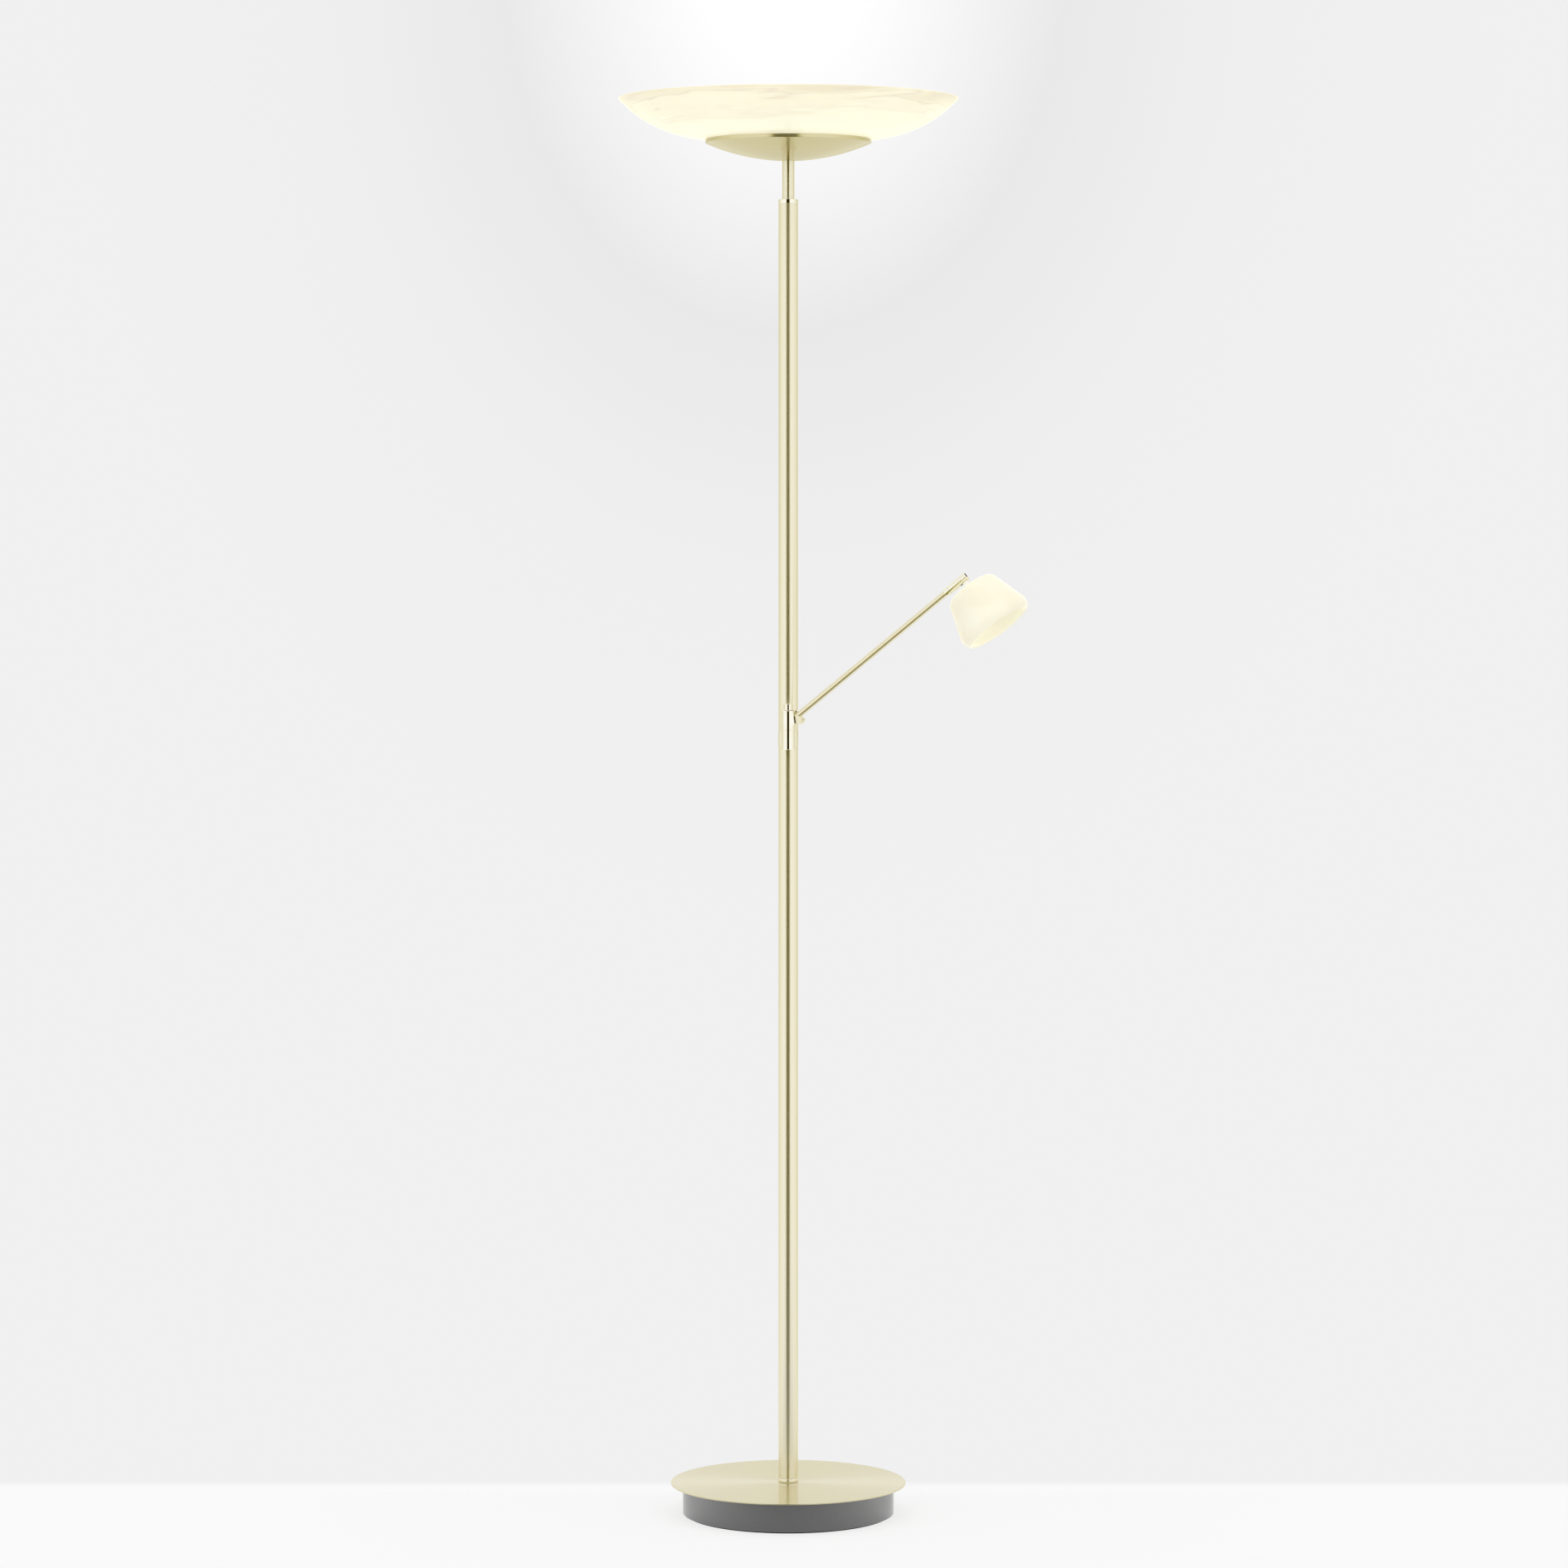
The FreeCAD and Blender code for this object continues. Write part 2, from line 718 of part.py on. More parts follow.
# Foot of the pole: a polished ring below, a threaded plug inside the tube
named(
    tube("foot_ring_turned", nipple_radius + running_fit, foot_ring_radius, cover_top, foot_ring_top),
    "pole_foot_ring",
)
named(
    turned(
        "foot_plug_turned",
        rectangle(nipple_radius, plug_radius, foot_ring_top, foot_ring_top + foot_plug_height),
    ),
    "pole_foot_plug",
)

# Pole: four brass tubes on inner couplers, the connector's ring between the second and the third
pole_tubes = (
    ("lower_pole_tube", foot_ring_top, lower_tube_top),
    ("middle_pole_tube", lower_tube_top, connector_bottom),
    ("upper_pole_tube", connector_top, upper_tube_top),
    ("top_pole_tube", upper_tube_top, pole_top),
)
for label, bottom, top in pole_tubes:
    named(tube(label + "_turned", pole_inside, pole_radius, bottom, top), label)

for label, seam in (("lower_pole_coupler", lower_tube_top), ("upper_pole_coupler", upper_tube_top)):
    named(
        tube(
            label + "_turned",
            coupler_bore_radius,
            plug_radius,
            seam - coupler_length / 2,
            seam + coupler_length / 2,
        ),
        label,
    )

# Connector: a ring in the line of the pole with the fixed half of the barrel on its front
connector_middle = connector_bottom + connector_ring_height / 2
cable_hole_height = swivel_split - cable_hole_drop
ring_part = tube(
    "connector_ring", pole_inside, connector_ring_radius, connector_bottom, connector_top
)
lower_barrel = put(
    turned(
        "connector_barrel",
        [
            (ZERO, barrel_bottom),
            (barrel_radius - barrel_edge, barrel_bottom),
            (barrel_radius, barrel_bottom + barrel_edge),
            (barrel_radius, swivel_split),
            (ZERO, swivel_split),
        ],
    ),
    LAMP,
    y=ZERO - barrel_offset,
)
bridge = put(
    block("connector_bridge", bridge_width, barrel_offset - pole_inside, connector_ring_height),
    LAMP,
    x=ZERO - bridge_width / 2,
    y=ZERO - barrel_offset,
    z=connector_bottom,
)
pole_space = put(rod("connector_pole_space", pole_inside, connector_ring_height), LAMP, z=connector_bottom)
barrel_bore = put(
    rod("connector_barrel_bore", barrel_bore_radius, lower_barrel_height),
    LAMP,
    y=ZERO - barrel_offset,
    z=barrel_bottom + barrel_floor,
)
cable_hole = put(
    rod("connector_cable_hole", cable_hole_radius, barrel_offset),
    LAMP,
    y=ZERO - barrel_offset,
    z=cable_hole_height,
    way=ALONG_Y,
)
grub_hole = put(
    rod("connector_grub_hole", grub_screw_radius, connector_ring_radius),
    LAMP,
    y=coupler_bore_radius,
    z=connector_middle,
    way=ALONG_Y,
)
connector_body = cut(fused(ring_part, lower_barrel, bridge), pole_space, barrel_bore, cable_hole, grub_hole)
named(connector_body, "pole_connector")

connector_coupler_blank = tube(
    "connector_coupler_tube",
    coupler_bore_radius,
    plug_radius,
    connector_middle - connector_coupler_length / 2,
    connector_middle + connector_coupler_length / 2,
)
coupler_cable_hole = put(
    rod("coupler_cable_hole", cable_hole_radius, barrel_offset),
    LAMP,
    y=ZERO - barrel_offset,
    z=cable_hole_height,
    way=ALONG_Y,
)
coupler_grub_hole = put(
    rod("coupler_grub_hole", grub_screw_radius, connector_ring_radius),
    LAMP,
    z=connector_middle,
    way=ALONG_Y,
)
named(cut(connector_coupler_blank, coupler_cable_hole, coupler_grub_hole), "connector_coupler")
named(
    put(
        rod("grub_screw_rod", grub_screw_radius - seat_gap, grub_screw_length),
        LAMP,
        y=connector_ring_radius - grub_screw_length - seat_gap * 4,
        z=connector_middle,
        way=ALONG_Y,
    ),
    "connector_grub_screw",
)

# Spindle of the swivel, pressed into the fixed half, and the round nut that holds the upper half down
spindle_bottom = swivel_split - spindle_seat_depth
nut_bottom = swivel_bottom + barrel_base_wall + seat_gap
spindle_top = nut_bottom + swivel_nut_height
spindle = turned(
    "spindle_turned",
    [
        (spindle_bore_radius, spindle_bottom),
        (barrel_bore_radius - seat_gap, spindle_bottom),
        (barrel_bore_radius - seat_gap, swivel_split),
        (spindle_radius, swivel_split),
        (spindle_radius, spindle_top),
        (spindle_bore_radius, spindle_top),
    ],
)
named(put(spindle, LAMP, y=ZERO - barrel_offset), "swivel_spindle")
named(
    put(
        tube("swivel_nut_turned", spindle_radius, swivel_nut_radius, nut_bottom, spindle_top),
        LAMP,
        y=ZERO - barrel_offset,
    ),
    "swivel_nut",
)

# Upper half of the barrel: it turns on the spindle and carries the hinge between a cheek and an ear
slot_bottom = swivel_bottom + slot_floor
hinge_level = swivel_bottom + hinge_height
upper_barrel = put(
    turned(
        "swivel_turned",
        [
            (spindle_radius + running_fit, swivel_bottom),
            (barrel_radius, swivel_bottom),
            (barrel_radius, swivel_top - barrel_edge),
            (barrel_radius - barrel_edge, swivel_top),
            (chamber_radius, swivel_top),
            (chamber_radius, swivel_bottom + barrel_base_wall),
            (spindle_radius + running_fit, swivel_bottom + barrel_base_wall),
        ],
    ),
    SWIVEL,
)
front_cheek = put(
    plate(
        "front_cheek",
        [
            (slot_start, slot_bottom),
            (cheek_reach, slot_bottom),
            (barrel_radius, swivel_top),
            (slot_start, swivel_top),
        ],
        cheek_thickness,
    ),
    SWIVEL,
    y=ZERO - slot_half_width - cheek_thickness / 2,
)
rear_cheek = put(
    plate(
        "rear_cheek",
        [
            (slot_start, hinge_level - knuckle_radius),
            (hinge_reach, hinge_level - knuckle_radius),
            (hinge_reach, hinge_level + knuckle_radius),
            (barrel_radius, swivel_top),
            (slot_start, swivel_top),
        ],
        cheek_thickness,
    ),
    SWIVEL,
    y=slot_half_width + cheek_thickness / 2,
)
ear = put(
    rod("rear_ear", knuckle_radius, cheek_thickness),
    SWIVEL,
    x=hinge_reach,
    y=slot_half_width,
    z=hinge_level,
    way=ALONG_Y,
)
slot = put(
    block("hinge_slot", hinge_reach * 2, slot_half_width * 2, upper_barrel_height),
    SWIVEL,
    x=slot_start,
    y=ZERO - slot_half_width,
    z=slot_bottom,
)
ear_hole = put(
    rod("ear_hole", hinge_pin_radius, cheek_thickness * 2),
    SWIVEL,
    x=hinge_reach,
    y=slot_half_width - cheek_thickness / 2,
    z=hinge_level,
    way=ALONG_Y,
)
swivel_body = cut(fused(upper_barrel, front_cheek, rear_cheek, ear), slot, ear_hole)
named(swivel_body, "swivel_barrel")

hinge_pin = turned(
    "hinge_pin_turned",
    [
        (ZERO, ZERO),
        (hinge_pin_radius, ZERO),
        (hinge_pin_radius, hinge_pin_nose + cheek_outside),
        (hinge_pin_head_radius, hinge_pin_nose + cheek_outside),
        (hinge_pin_head_radius, hinge_pin_nose + cheek_outside + hinge_pin_head_height),
        (ZERO, hinge_pin_nose + cheek_outside + hinge_pin_head_height),
    ],
)
named(
    put(hinge_pin, SWIVEL, x=hinge_reach, y=ZERO - hinge_pin_nose, z=hinge_level, way=ALONG_Y),
    "arm_hinge_pin",
)

# Rotary dimmer in the barrel, and its knob on top
dimmer_top = swivel_top - dimmer_top_drop
dimmer = turned(
    "dimmer_turned",
    [
        (ZERO, dimmer_top - dimmer_height),
        (chamber_radius - seat_gap, dimmer_top - dimmer_height),
        (chamber_radius - seat_gap, dimmer_top),
        (knob_shaft_radius + running_fit, dimmer_top),
        (knob_shaft_radius + running_fit, dimmer_top - knob_shaft_length),
        (ZERO, dimmer_top - knob_shaft_length),
    ],
)
named(put(dimmer, SWIVEL), "dimmer_unit")

knob_bottom = swivel_top + turning_gap
knob_top = knob_bottom + knob_height
knob = turned(
    "knob_turned",
    [
        (ZERO, knob_bottom - knob_shaft_length),
        (knob_shaft_radius, knob_bottom - knob_shaft_length),
        (knob_shaft_radius, knob_bottom),
        (knob_radius, knob_bottom),
        (knob_radius, knob_top - knob_edge),
        (knob_radius - knob_edge, knob_top),
        (ZERO, knob_top),
    ],
)
named(put(knob, SWIVEL), "dimmer_knob")

# Knuckle of the arm: the eye that turns on the hinge pin, and the spigot inside the tube
eye = put(
    rod("knuckle_eye", knuckle_radius, knuckle_half_width * 2),
    ARM,
    y=ZERO - knuckle_half_width,
    way=ALONG_Y,
)
knuckle_stub = put(
    rod("knuckle_stub", arm_radius, arm_start + stub_back), ARM, x=arm_offset, z=ZERO - stub_back
)
knuckle_spigot = put(
    rod("knuckle_spigot", arm_radius - arm_wall - seat_gap, spigot_length + arm_start),
    ARM,
    x=arm_offset,
)
knuckle_bore = put(
    rod(
        "knuckle_bore",
        hinge_pin_radius + running_fit,
        knuckle_half_width + hinge_pin_nose + slot_side_gap,
    ),
    ARM,
    y=ZERO - knuckle_half_width,
    way=ALONG_Y,
)
named(cut(fused(eye, knuckle_stub, knuckle_spigot), knuckle_bore), "arm_knuckle")

# Arm tube and the ring at its end, with the spigot on which the head turns
tube_end = end_ring_bottom + tube_seat_depth
named(
    put(
        tube("arm_tube_turned", arm_radius - arm_wall, arm_radius, arm_start, tube_end - seat_gap),
        ARM,
        x=arm_offset,
    ),
    "arm_tube",
)
clip_bottom = cavity_bottom + seat_gap
turning_spigot_top = clip_bottom + clip_thickness * 2
end_ring = turned(
    "end_ring_turned",
    [
        (turning_spigot_radius / 2, tube_end),
        (arm_radius, tube_end),
        (arm_radius, end_ring_bottom),
        (end_ring_radius, end_ring_bottom),
        (end_ring_radius, end_ring_top),
        (turning_spigot_radius, end_ring_top),
        (turning_spigot_radius, turning_spigot_top),
        (turning_spigot_radius / 2, turning_spigot_top),
    ],
)
named(put(end_ring, ARM, x=arm_offset), "arm_end_ring")
named(
    put(
        tube(
            "clip_turned",
            turning_spigot_radius,
            clip_radius,
            clip_bottom,
            clip_bottom + clip_thickness,
        ),
        ARM,
        x=arm_offset,
    ),
    "sleeve_retaining_clip",
)

# Sleeve of the head: it turns about the arm, and its slotted end holds the lug of the shade
sleeve_blank = put(
    turned(
        "sleeve_turned",
        [
            (turning_spigot_radius + running_fit, sleeve_bottom),
            (sleeve_radius, sleeve_bottom),
            (sleeve_radius, sleeve_top - sleeve_edge),
            (sleeve_radius - sleeve_edge, sleeve_top),
            (ZERO, sleeve_top),
            (ZERO, cavity_bottom + sleeve_cavity_length),
            (sleeve_cavity_radius, cavity_bottom + sleeve_cavity_length),
            (sleeve_cavity_radius, cavity_bottom),
            (turning_spigot_radius + running_fit, cavity_bottom),
        ],
    ),
    ARM,
    x=arm_offset,
)
fork_half_width = lug_half_thickness + slot_side_gap
fork_slot = put(
    block(
        "fork_slot",
        sleeve_radius * 2 + fork_slot_rise,
        fork_half_width * 2,
        fork_slot_back + sleeve_nose * 2,
    ),
    ARM,
    x=arm_offset - sleeve_radius * 2,
    y=ZERO - fork_half_width,
    z=arm_length - fork_slot_back,
)
head_pin_hole = put(
    rod("head_pin_hole", head_pin_radius, sleeve_radius * 2),
    ARM,
    x=arm_offset,
    y=ZERO - sleeve_radius,
    z=arm_length,
    way=ALONG_Y,
)
named(cut(sleeve_blank, fork_slot, head_pin_hole), "head_sleeve")
head_pin_length = sleeve_radius * 2 - sleeve_edge
named(
    put(
        rod("head_pin_rod", head_pin_radius, head_pin_length),
        ARM,
        x=arm_offset,
        y=ZERO - head_pin_length / 2,
        z=arm_length,
        way=ALONG_Y,
    ),
    "head_pin",
)

# Holder of the shade: a lug on the head pin, a flange on the glass and a threaded stem through it
lug_plate = put(
    block("holder_lug", lug_half_width * 2, lug_half_thickness * 2, holder_drop),
    HEAD,
    x=ZERO - lug_half_width,
    y=ZERO - lug_half_thickness,
)
lug_eye = put(
    rod("holder_eye", lug_half_width, lug_half_thickness * 2),
    HEAD,
    y=ZERO - lug_half_thickness,
    way=ALONG_Y,
)
holder_flange = put(rod("holder_flange", holder_radius, holder_thickness), HEAD, z=holder_drop)
holder_stem = put(rod("holder_stem", holder_stem_radius, holder_stem_length), HEAD, z=glass_top)
lug_hole = put(
    rod("holder_hole", head_pin_radius + running_fit, lug_half_thickness * 2),
    HEAD,
    y=ZERO - lug_half_thickness,
    way=ALONG_Y,
)
named(cut(fused(lug_plate, lug_eye, holder_flange, holder_stem), lug_hole), "shade_holder")

# Glass shade of the reading light: a blunt cone with round shoulders and a mouth that curls in
cone_run = shade_mouth_corner - shade_shoulder_radius
cone_side = root(cone_run * cone_run + shade_length * shade_length)
cone_out = cone_run / cone_side
cone_down = shade_length / cone_side
shoulder_tangent = shade_shoulder_round * root((as_size(1) - cone_out) / (as_size(1) + cone_out))
mouth_tangent = shade_mouth_round * root((as_size(1) + cone_out) / (as_size(1) - cone_out))
shoulder_centre = shade_shoulder_radius - shoulder_tangent
mouth_centre = shade_mouth_corner - mouth_tangent
mouth_level = shade_length - shade_mouth_round
opening_across = (shade_opening_radius - mouth_centre) / shade_mouth_round
opening_down = root(as_size(1) - opening_across * opening_across)


def on_shoulder(radius):
    """Where a wall at this radius about the shoulder's centre meets the cone."""
    return (shoulder_centre + radius * cone_down, shade_shoulder_round - radius * cone_out)


def on_mouth(radius):
    """Where a wall at this radius about the mouth's centre leaves the cone."""
    return (mouth_centre + radius * cone_down, mouth_level - radius * cone_out)


def at_opening(radius):
    return (mouth_centre + radius * opening_across, mouth_level + radius * opening_down)


inner_shoulder = shade_shoulder_round - shade_wall
inner_mouth = shade_mouth_round - shade_wall
glass_hole = holder_stem_radius + seat_gap * 4
shade_points = [
    (glass_hole, ZERO),
    (shoulder_centre, ZERO, shade_shoulder_round, True),
    on_shoulder(shade_shoulder_round),
    (*on_mouth(shade_mouth_round), shade_mouth_round, True),
    (*at_opening(shade_mouth_round), shade_wall * 0.55, True),
    (*at_opening(inner_mouth), inner_mouth, False),
    on_mouth(inner_mouth),
    (*on_shoulder(inner_shoulder), inner_shoulder, False),
    (shoulder_centre, shade_wall),
    (glass_hole, shade_wall),
]
named(put(turned("shade_glass_turned", shade_points), HEAD, z=glass_top), "reading_shade_glass")

named(
    put(
        tube("shade_nut_turned", holder_stem_radius, shade_nut_radius, glass_inside, reading_sink_bottom),
        HEAD,
    ),
    "shade_ring_nut",
)

# Light source of the reading head: heat sink, board, bezel and lens
sink_outline = [(holder_stem_radius + seat_gap, reading_sink_bottom)]
fin_pitch = reading_sink_height / (reading_fin_count + 1)
for index in range(reading_fin_count):
    groove_bottom = reading_sink_bottom + fin_pitch * (index + 1) - reading_fin_groove / 2
    groove_top = groove_bottom + reading_fin_groove
    groove_floor = reading_sink_radius - reading_fin_depth
    sink_outline.append((reading_sink_radius, groove_bottom))
    sink_outline.append((groove_floor, groove_bottom))
    sink_outline.append((groove_floor, groove_top))
    sink_outline.append((reading_sink_radius, groove_top))
sink_outline.insert(1, (reading_sink_radius, reading_sink_bottom))
stem_end = glass_top + holder_stem_length
sink_outline.append((reading_sink_radius, reading_board_bottom))
sink_outline.append((ZERO, reading_board_bottom))
sink_outline.append((ZERO, stem_end + seat_gap))
sink_outline.append((holder_stem_radius + seat_gap, stem_end + seat_gap))
named(put(turned("reading_sink_turned", sink_outline), HEAD), "reading_heat_sink")
board_top = reading_board_bottom + reading_board_thickness
named(
    put(
        turned(
            "reading_board_disc",
            rectangle(ZERO, reading_board_radius, reading_board_bottom, board_top),
        ),
        HEAD,
    ),
    "reading_led_board",
)
bezel_bottom = reading_board_bottom
bezel_top = bezel_bottom + bezel_height
bezel_inside = bezel_radius - bezel_wall
named(
    put(
        turned(
            "bezel_turned",
            [
                (reading_board_radius + seat_gap, bezel_bottom),
                (reading_sink_radius, bezel_bottom),
                (bezel_radius, bezel_top),
                (bezel_inside, bezel_top),
                (bezel_inside, bezel_top - lens_thickness),
                (bezel_inside - bezel_wall, bezel_top - lens_thickness),
                (reading_board_radius + seat_gap, bezel_bottom + bezel_wall),
            ],
        ),
        HEAD,
    ),
    "reading_bezel",
)
named(
    put(
        turned(
            "reading_lens_disc",
            rectangle(ZERO, bezel_inside - seat_gap, bezel_top - lens_thickness, bezel_top - seat_gap * 4),
        ),
        HEAD,
    ),
    "reading_lens",
)

# Top of the pole: plug, polished collar and the slim stem of the uplight
named(
    tube("top_plug_turned", stem_radius + running_fit, plug_radius, pole_top - top_plug_height, pole_top),
    "pole_top_plug",
)
named(
    tube("collar_turned", stem_radius + running_fit, collar_radius, pole_top, collar_top),
    "pole_top_collar",
)
stem_inside = stem_radius - stem_wall
stem_thread_bottom = dish_bottom - stem_thread_depth
named(
    turned(
        "stem_turned",
        [
            (stem_inside, pole_top - stem_seat_depth),
            (stem_radius, pole_top - stem_seat_depth),
            (stem_radius, dish_bottom),
            (nipple_radius, dish_bottom),
            (nipple_radius, stem_thread_bottom),
            (stem_inside, stem_thread_bottom),
        ],
    ),
    "uplight_stem",
)

# Dish: a spun brass cap with a short upright lip, on the end of the stem
dish_hole = nipple_radius + running_fit
dish_inside_radius = dish_radius - dish_wall


named(
    turned(
        "dish_spun",
        [
            (dish_hole, dish_bottom + ball_rise(dish_ball_radius, dish_hole), dish_ball_radius, True),
            (dish_radius, dish_bottom + dish_depth),
            (dish_radius, dish_lip_top),
            (dish_inside_radius, dish_lip_top),
            (
                dish_inside_radius,
                dish_floor + ball_rise(dish_inner_ball, dish_inside_radius),
                dish_inner_ball,
                False,
            ),
            (dish_hole, dish_floor + ball_rise(dish_inner_ball, dish_hole)),
        ],
    ),
    "uplight_dish",
)
named(
    tube(
        "dish_washer_ring",
        nipple_radius + running_fit,
        dish_washer_radius,
        dish_washer_bottom,
        dish_nut_bottom,
    ),
    "dish_washer",
)
named(hex_nut("dish_hexagon", dish_nut_bottom), "dish_nut")
top_nut_top = sink_top + nut_height
named(
    tube("uplight_thread", nipple_bore_radius, nipple_radius, stem_thread_bottom, top_nut_top),
    "uplight_threaded_tube",
)
named(
    tube("post_turned", nipple_radius + running_fit, post_radius, dish_nut_top, sink_bottom),
    "bowl_post",
)

# Seat ring: the silicone ring in the dish on which the glass bowl lies
ring_outside = dish_inside_radius - seat_gap
ring_inside = ring_outside - seat_ring_width
named(
    turned(
        "seat_ring_turned",
        [
            (ring_inside, dish_floor + ball_rise(dish_inner_ball, ring_inside) + seat_gap),
            (ring_outside, dish_floor + ball_rise(dish_inner_ball, ring_outside) + seat_gap),
            (ring_outside, bowl_bottom + ball_rise(bowl_floor_ball, ring_outside) - seat_gap),
            (ring_inside, bowl_bottom + ball_rise(bowl_floor_ball, ring_inside) - seat_gap),
        ],
    ),
    "bowl_seat_ring",
)

# Glass bowl: a nearly flat floor that runs tangent into rounder sides, with a hole for the post
side_inner = bowl_side_ball - bowl_wall
turn_sine = bowl_turn_radius / bowl_floor_ball
turn_cosine = root(as_size(1) - turn_sine * turn_sine)
side_centre_radius = bowl_turn_radius - bowl_side_ball * turn_sine
side_centre_level = bowl_floor_ball - (bowl_floor_ball - bowl_side_ball) * turn_cosine
rim_across = bowl_radius - side_centre_radius
rim_down = root(bowl_side_ball * bowl_side_ball - rim_across * rim_across)
rim_level = bowl_bottom + side_centre_level - rim_down


def bowl_turn(ball):
    """Where the floor of this ball radius runs into the side."""
    return (ball * turn_sine, bowl_bottom + bowl_floor_ball - ball * turn_cosine)


def bowl_rim(ball):
    """Where the side ends at the flat ground rim, for this radius about the side's centre."""
    return (side_centre_radius + root(ball * ball - rim_down * rim_down), rim_level)


bowl_points = [
    (
        bowl_hole_radius,
        bowl_bottom + ball_rise(bowl_floor_ball, bowl_hole_radius),
        bowl_floor_ball,
        True,
    ),
    (*bowl_turn(bowl_floor_ball), bowl_side_ball, True),
    bowl_rim(bowl_side_ball),
    (*bowl_rim(side_inner), side_inner, False),
    (*bowl_turn(floor_inner), floor_inner, False),
    (bowl_hole_radius, bowl_bottom + bowl_wall + ball_rise(floor_inner, bowl_hole_radius)),
]
named(turned("bowl_blown", bowl_points), "uplight_glass_bowl")
named(
    tube("cushion_ring", post_radius + seat_gap, cushion_radius, cushion_bottom, sink_bottom),
    "bowl_cushion_washer",
)


# Light source of the bowl: heat sink plate, board with its screws, nut and opal cover
def board_screw_place(index, x, y, name, radius, head_radius, z):
    return put(
        turned(
            f"{name}_{index}",
            [
                (ZERO, ZERO),
                (radius, ZERO),
                (radius, sink_thickness / 2 + board_thickness),
                (head_radius, sink_thickness / 2 + board_thickness),
                (head_radius, sink_thickness / 2 + board_thickness + board_screw_head_height),
                (ZERO, sink_thickness / 2 + board_thickness + board_screw_head_height),
            ],
        ),
        LAMP,
        x=x,
        y=y,
        z=z,
    )


def board_screw(index, x, y):
    return board_screw_place(
        index, x, y, "board_screw", board_screw_radius, board_screw_head_radius, sink_top - sink_thickness / 2
    )


def board_screw_hole(index, x, y):
    hole = rod(f"board_hole_{index}", board_screw_radius + seat_gap, sink_thickness + board_thickness)
    return put(hole, LAMP, x=x, y=y, z=sink_top - sink_thickness / 2)


sink_blank = turned(
    "sink_plate", rectangle(nipple_radius + running_fit, sink_radius, sink_bottom, sink_top)
)
sink_holes = group("sink_holes", ring_of(board_screw_count, board_screw_circle, board_screw_hole))
named(cut(sink_blank, sink_holes), "uplight_heat_sink")
board_blank = turned(
    "uplight_board_disc",
    rectangle(board_hole_radius, board_radius, sink_top, sink_top + board_thickness),
)
board_holes = group(
    "board_holes",
    ring_of(
        board_screw_count,
        board_screw_circle,
        lambda index, x, y: put(
            rod(f"board_cut_{index}", board_screw_radius + seat_gap, sink_thickness),
            LAMP,
            x=x,
            y=y,
            z=sink_top,
        ),
    ),
)
named(cut(board_blank, board_holes), "uplight_led_board")
named(
    group("board_screw_set", ring_of(board_screw_count, board_screw_circle, board_screw)),
    "led_board_screws",
)
named(hex_nut("top_hexagon", sink_top), "top_nut")
diffuser_inner = diffuser_radius - diffuser_wall
skirt_top = sink_top + diffuser_skirt
diffuser_rise = ball_rise(diffuser_ball_radius, diffuser_radius)
diffuser_inner_ball = diffuser_ball_radius - diffuser_wall
diffuser_inner_rise = ball_rise(diffuser_inner_ball, diffuser_inner)
named(
    turned(
        "diffuser_moulded",
        [
            (diffuser_inner, sink_top),
            (diffuser_radius, sink_top),
            (diffuser_radius, skirt_top, diffuser_ball_radius, True),
            (ZERO, skirt_top + diffuser_rise),
            (ZERO, skirt_top + diffuser_rise - diffuser_wall, diffuser_inner_ball, False),
            (diffuser_inner, skirt_top + diffuser_rise - diffuser_wall - diffuser_inner_rise),
        ],
    ),
    "uplight_diffuser",
)

# Feed cable inside the pole, from the base up to the light source
named(
    turned(
        "pole_cable_run",
        rectangle(ZERO, cable_radius, base_nut_bottom + nut_height, top_nut_top - nut_height),
    ),
    "pole_feed_cable",
)

doc.recompute()

for item in doc.Objects:
    if "Invalid" in item.State or "Error" in item.State:
        raise RuntimeError(f"{item.Name} ({item.Label}) failed: {item.State}")
labels = [item.Label for item in nodes]
if len(labels) != len(set(labels)):
    raise RuntimeError("two sub-parts share a name")
for item in nodes:
    if item.Shape.isNull() or not item.Shape.isValid():
        raise RuntimeError(f"{item.Label} has no valid shape")
for item in nodes:
    item.Shape.exportStep(f"parts/{item.Label}.step")
    print(item.Label, len(item.Shape.Solids), round(item.Shape.Volume, 1))
print("hinge point", hinge_point)
print("head point", head_point)
print("front axis", front, "arm way", arm_way)
print("sub-parts", len(nodes))
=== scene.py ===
import json
import math

import bmesh
import bpy
from mathutils import Matrix, Vector


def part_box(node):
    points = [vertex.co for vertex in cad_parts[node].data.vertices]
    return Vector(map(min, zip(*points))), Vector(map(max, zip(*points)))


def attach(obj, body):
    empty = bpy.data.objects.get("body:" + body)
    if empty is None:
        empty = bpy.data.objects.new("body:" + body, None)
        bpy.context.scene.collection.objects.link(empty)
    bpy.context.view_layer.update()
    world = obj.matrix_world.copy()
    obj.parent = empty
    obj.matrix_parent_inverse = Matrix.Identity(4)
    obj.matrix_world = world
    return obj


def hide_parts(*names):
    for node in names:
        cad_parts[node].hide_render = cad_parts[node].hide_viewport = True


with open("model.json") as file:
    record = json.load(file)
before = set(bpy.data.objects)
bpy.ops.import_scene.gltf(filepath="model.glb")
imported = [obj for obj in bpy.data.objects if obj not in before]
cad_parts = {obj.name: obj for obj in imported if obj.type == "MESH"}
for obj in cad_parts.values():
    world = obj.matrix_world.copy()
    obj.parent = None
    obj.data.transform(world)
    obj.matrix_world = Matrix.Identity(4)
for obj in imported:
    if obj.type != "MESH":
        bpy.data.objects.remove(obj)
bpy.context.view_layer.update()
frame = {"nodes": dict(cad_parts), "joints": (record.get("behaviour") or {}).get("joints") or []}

nodes = frame["nodes"]
scene = bpy.context.scene
scene.view_settings.view_transform = "Standard"

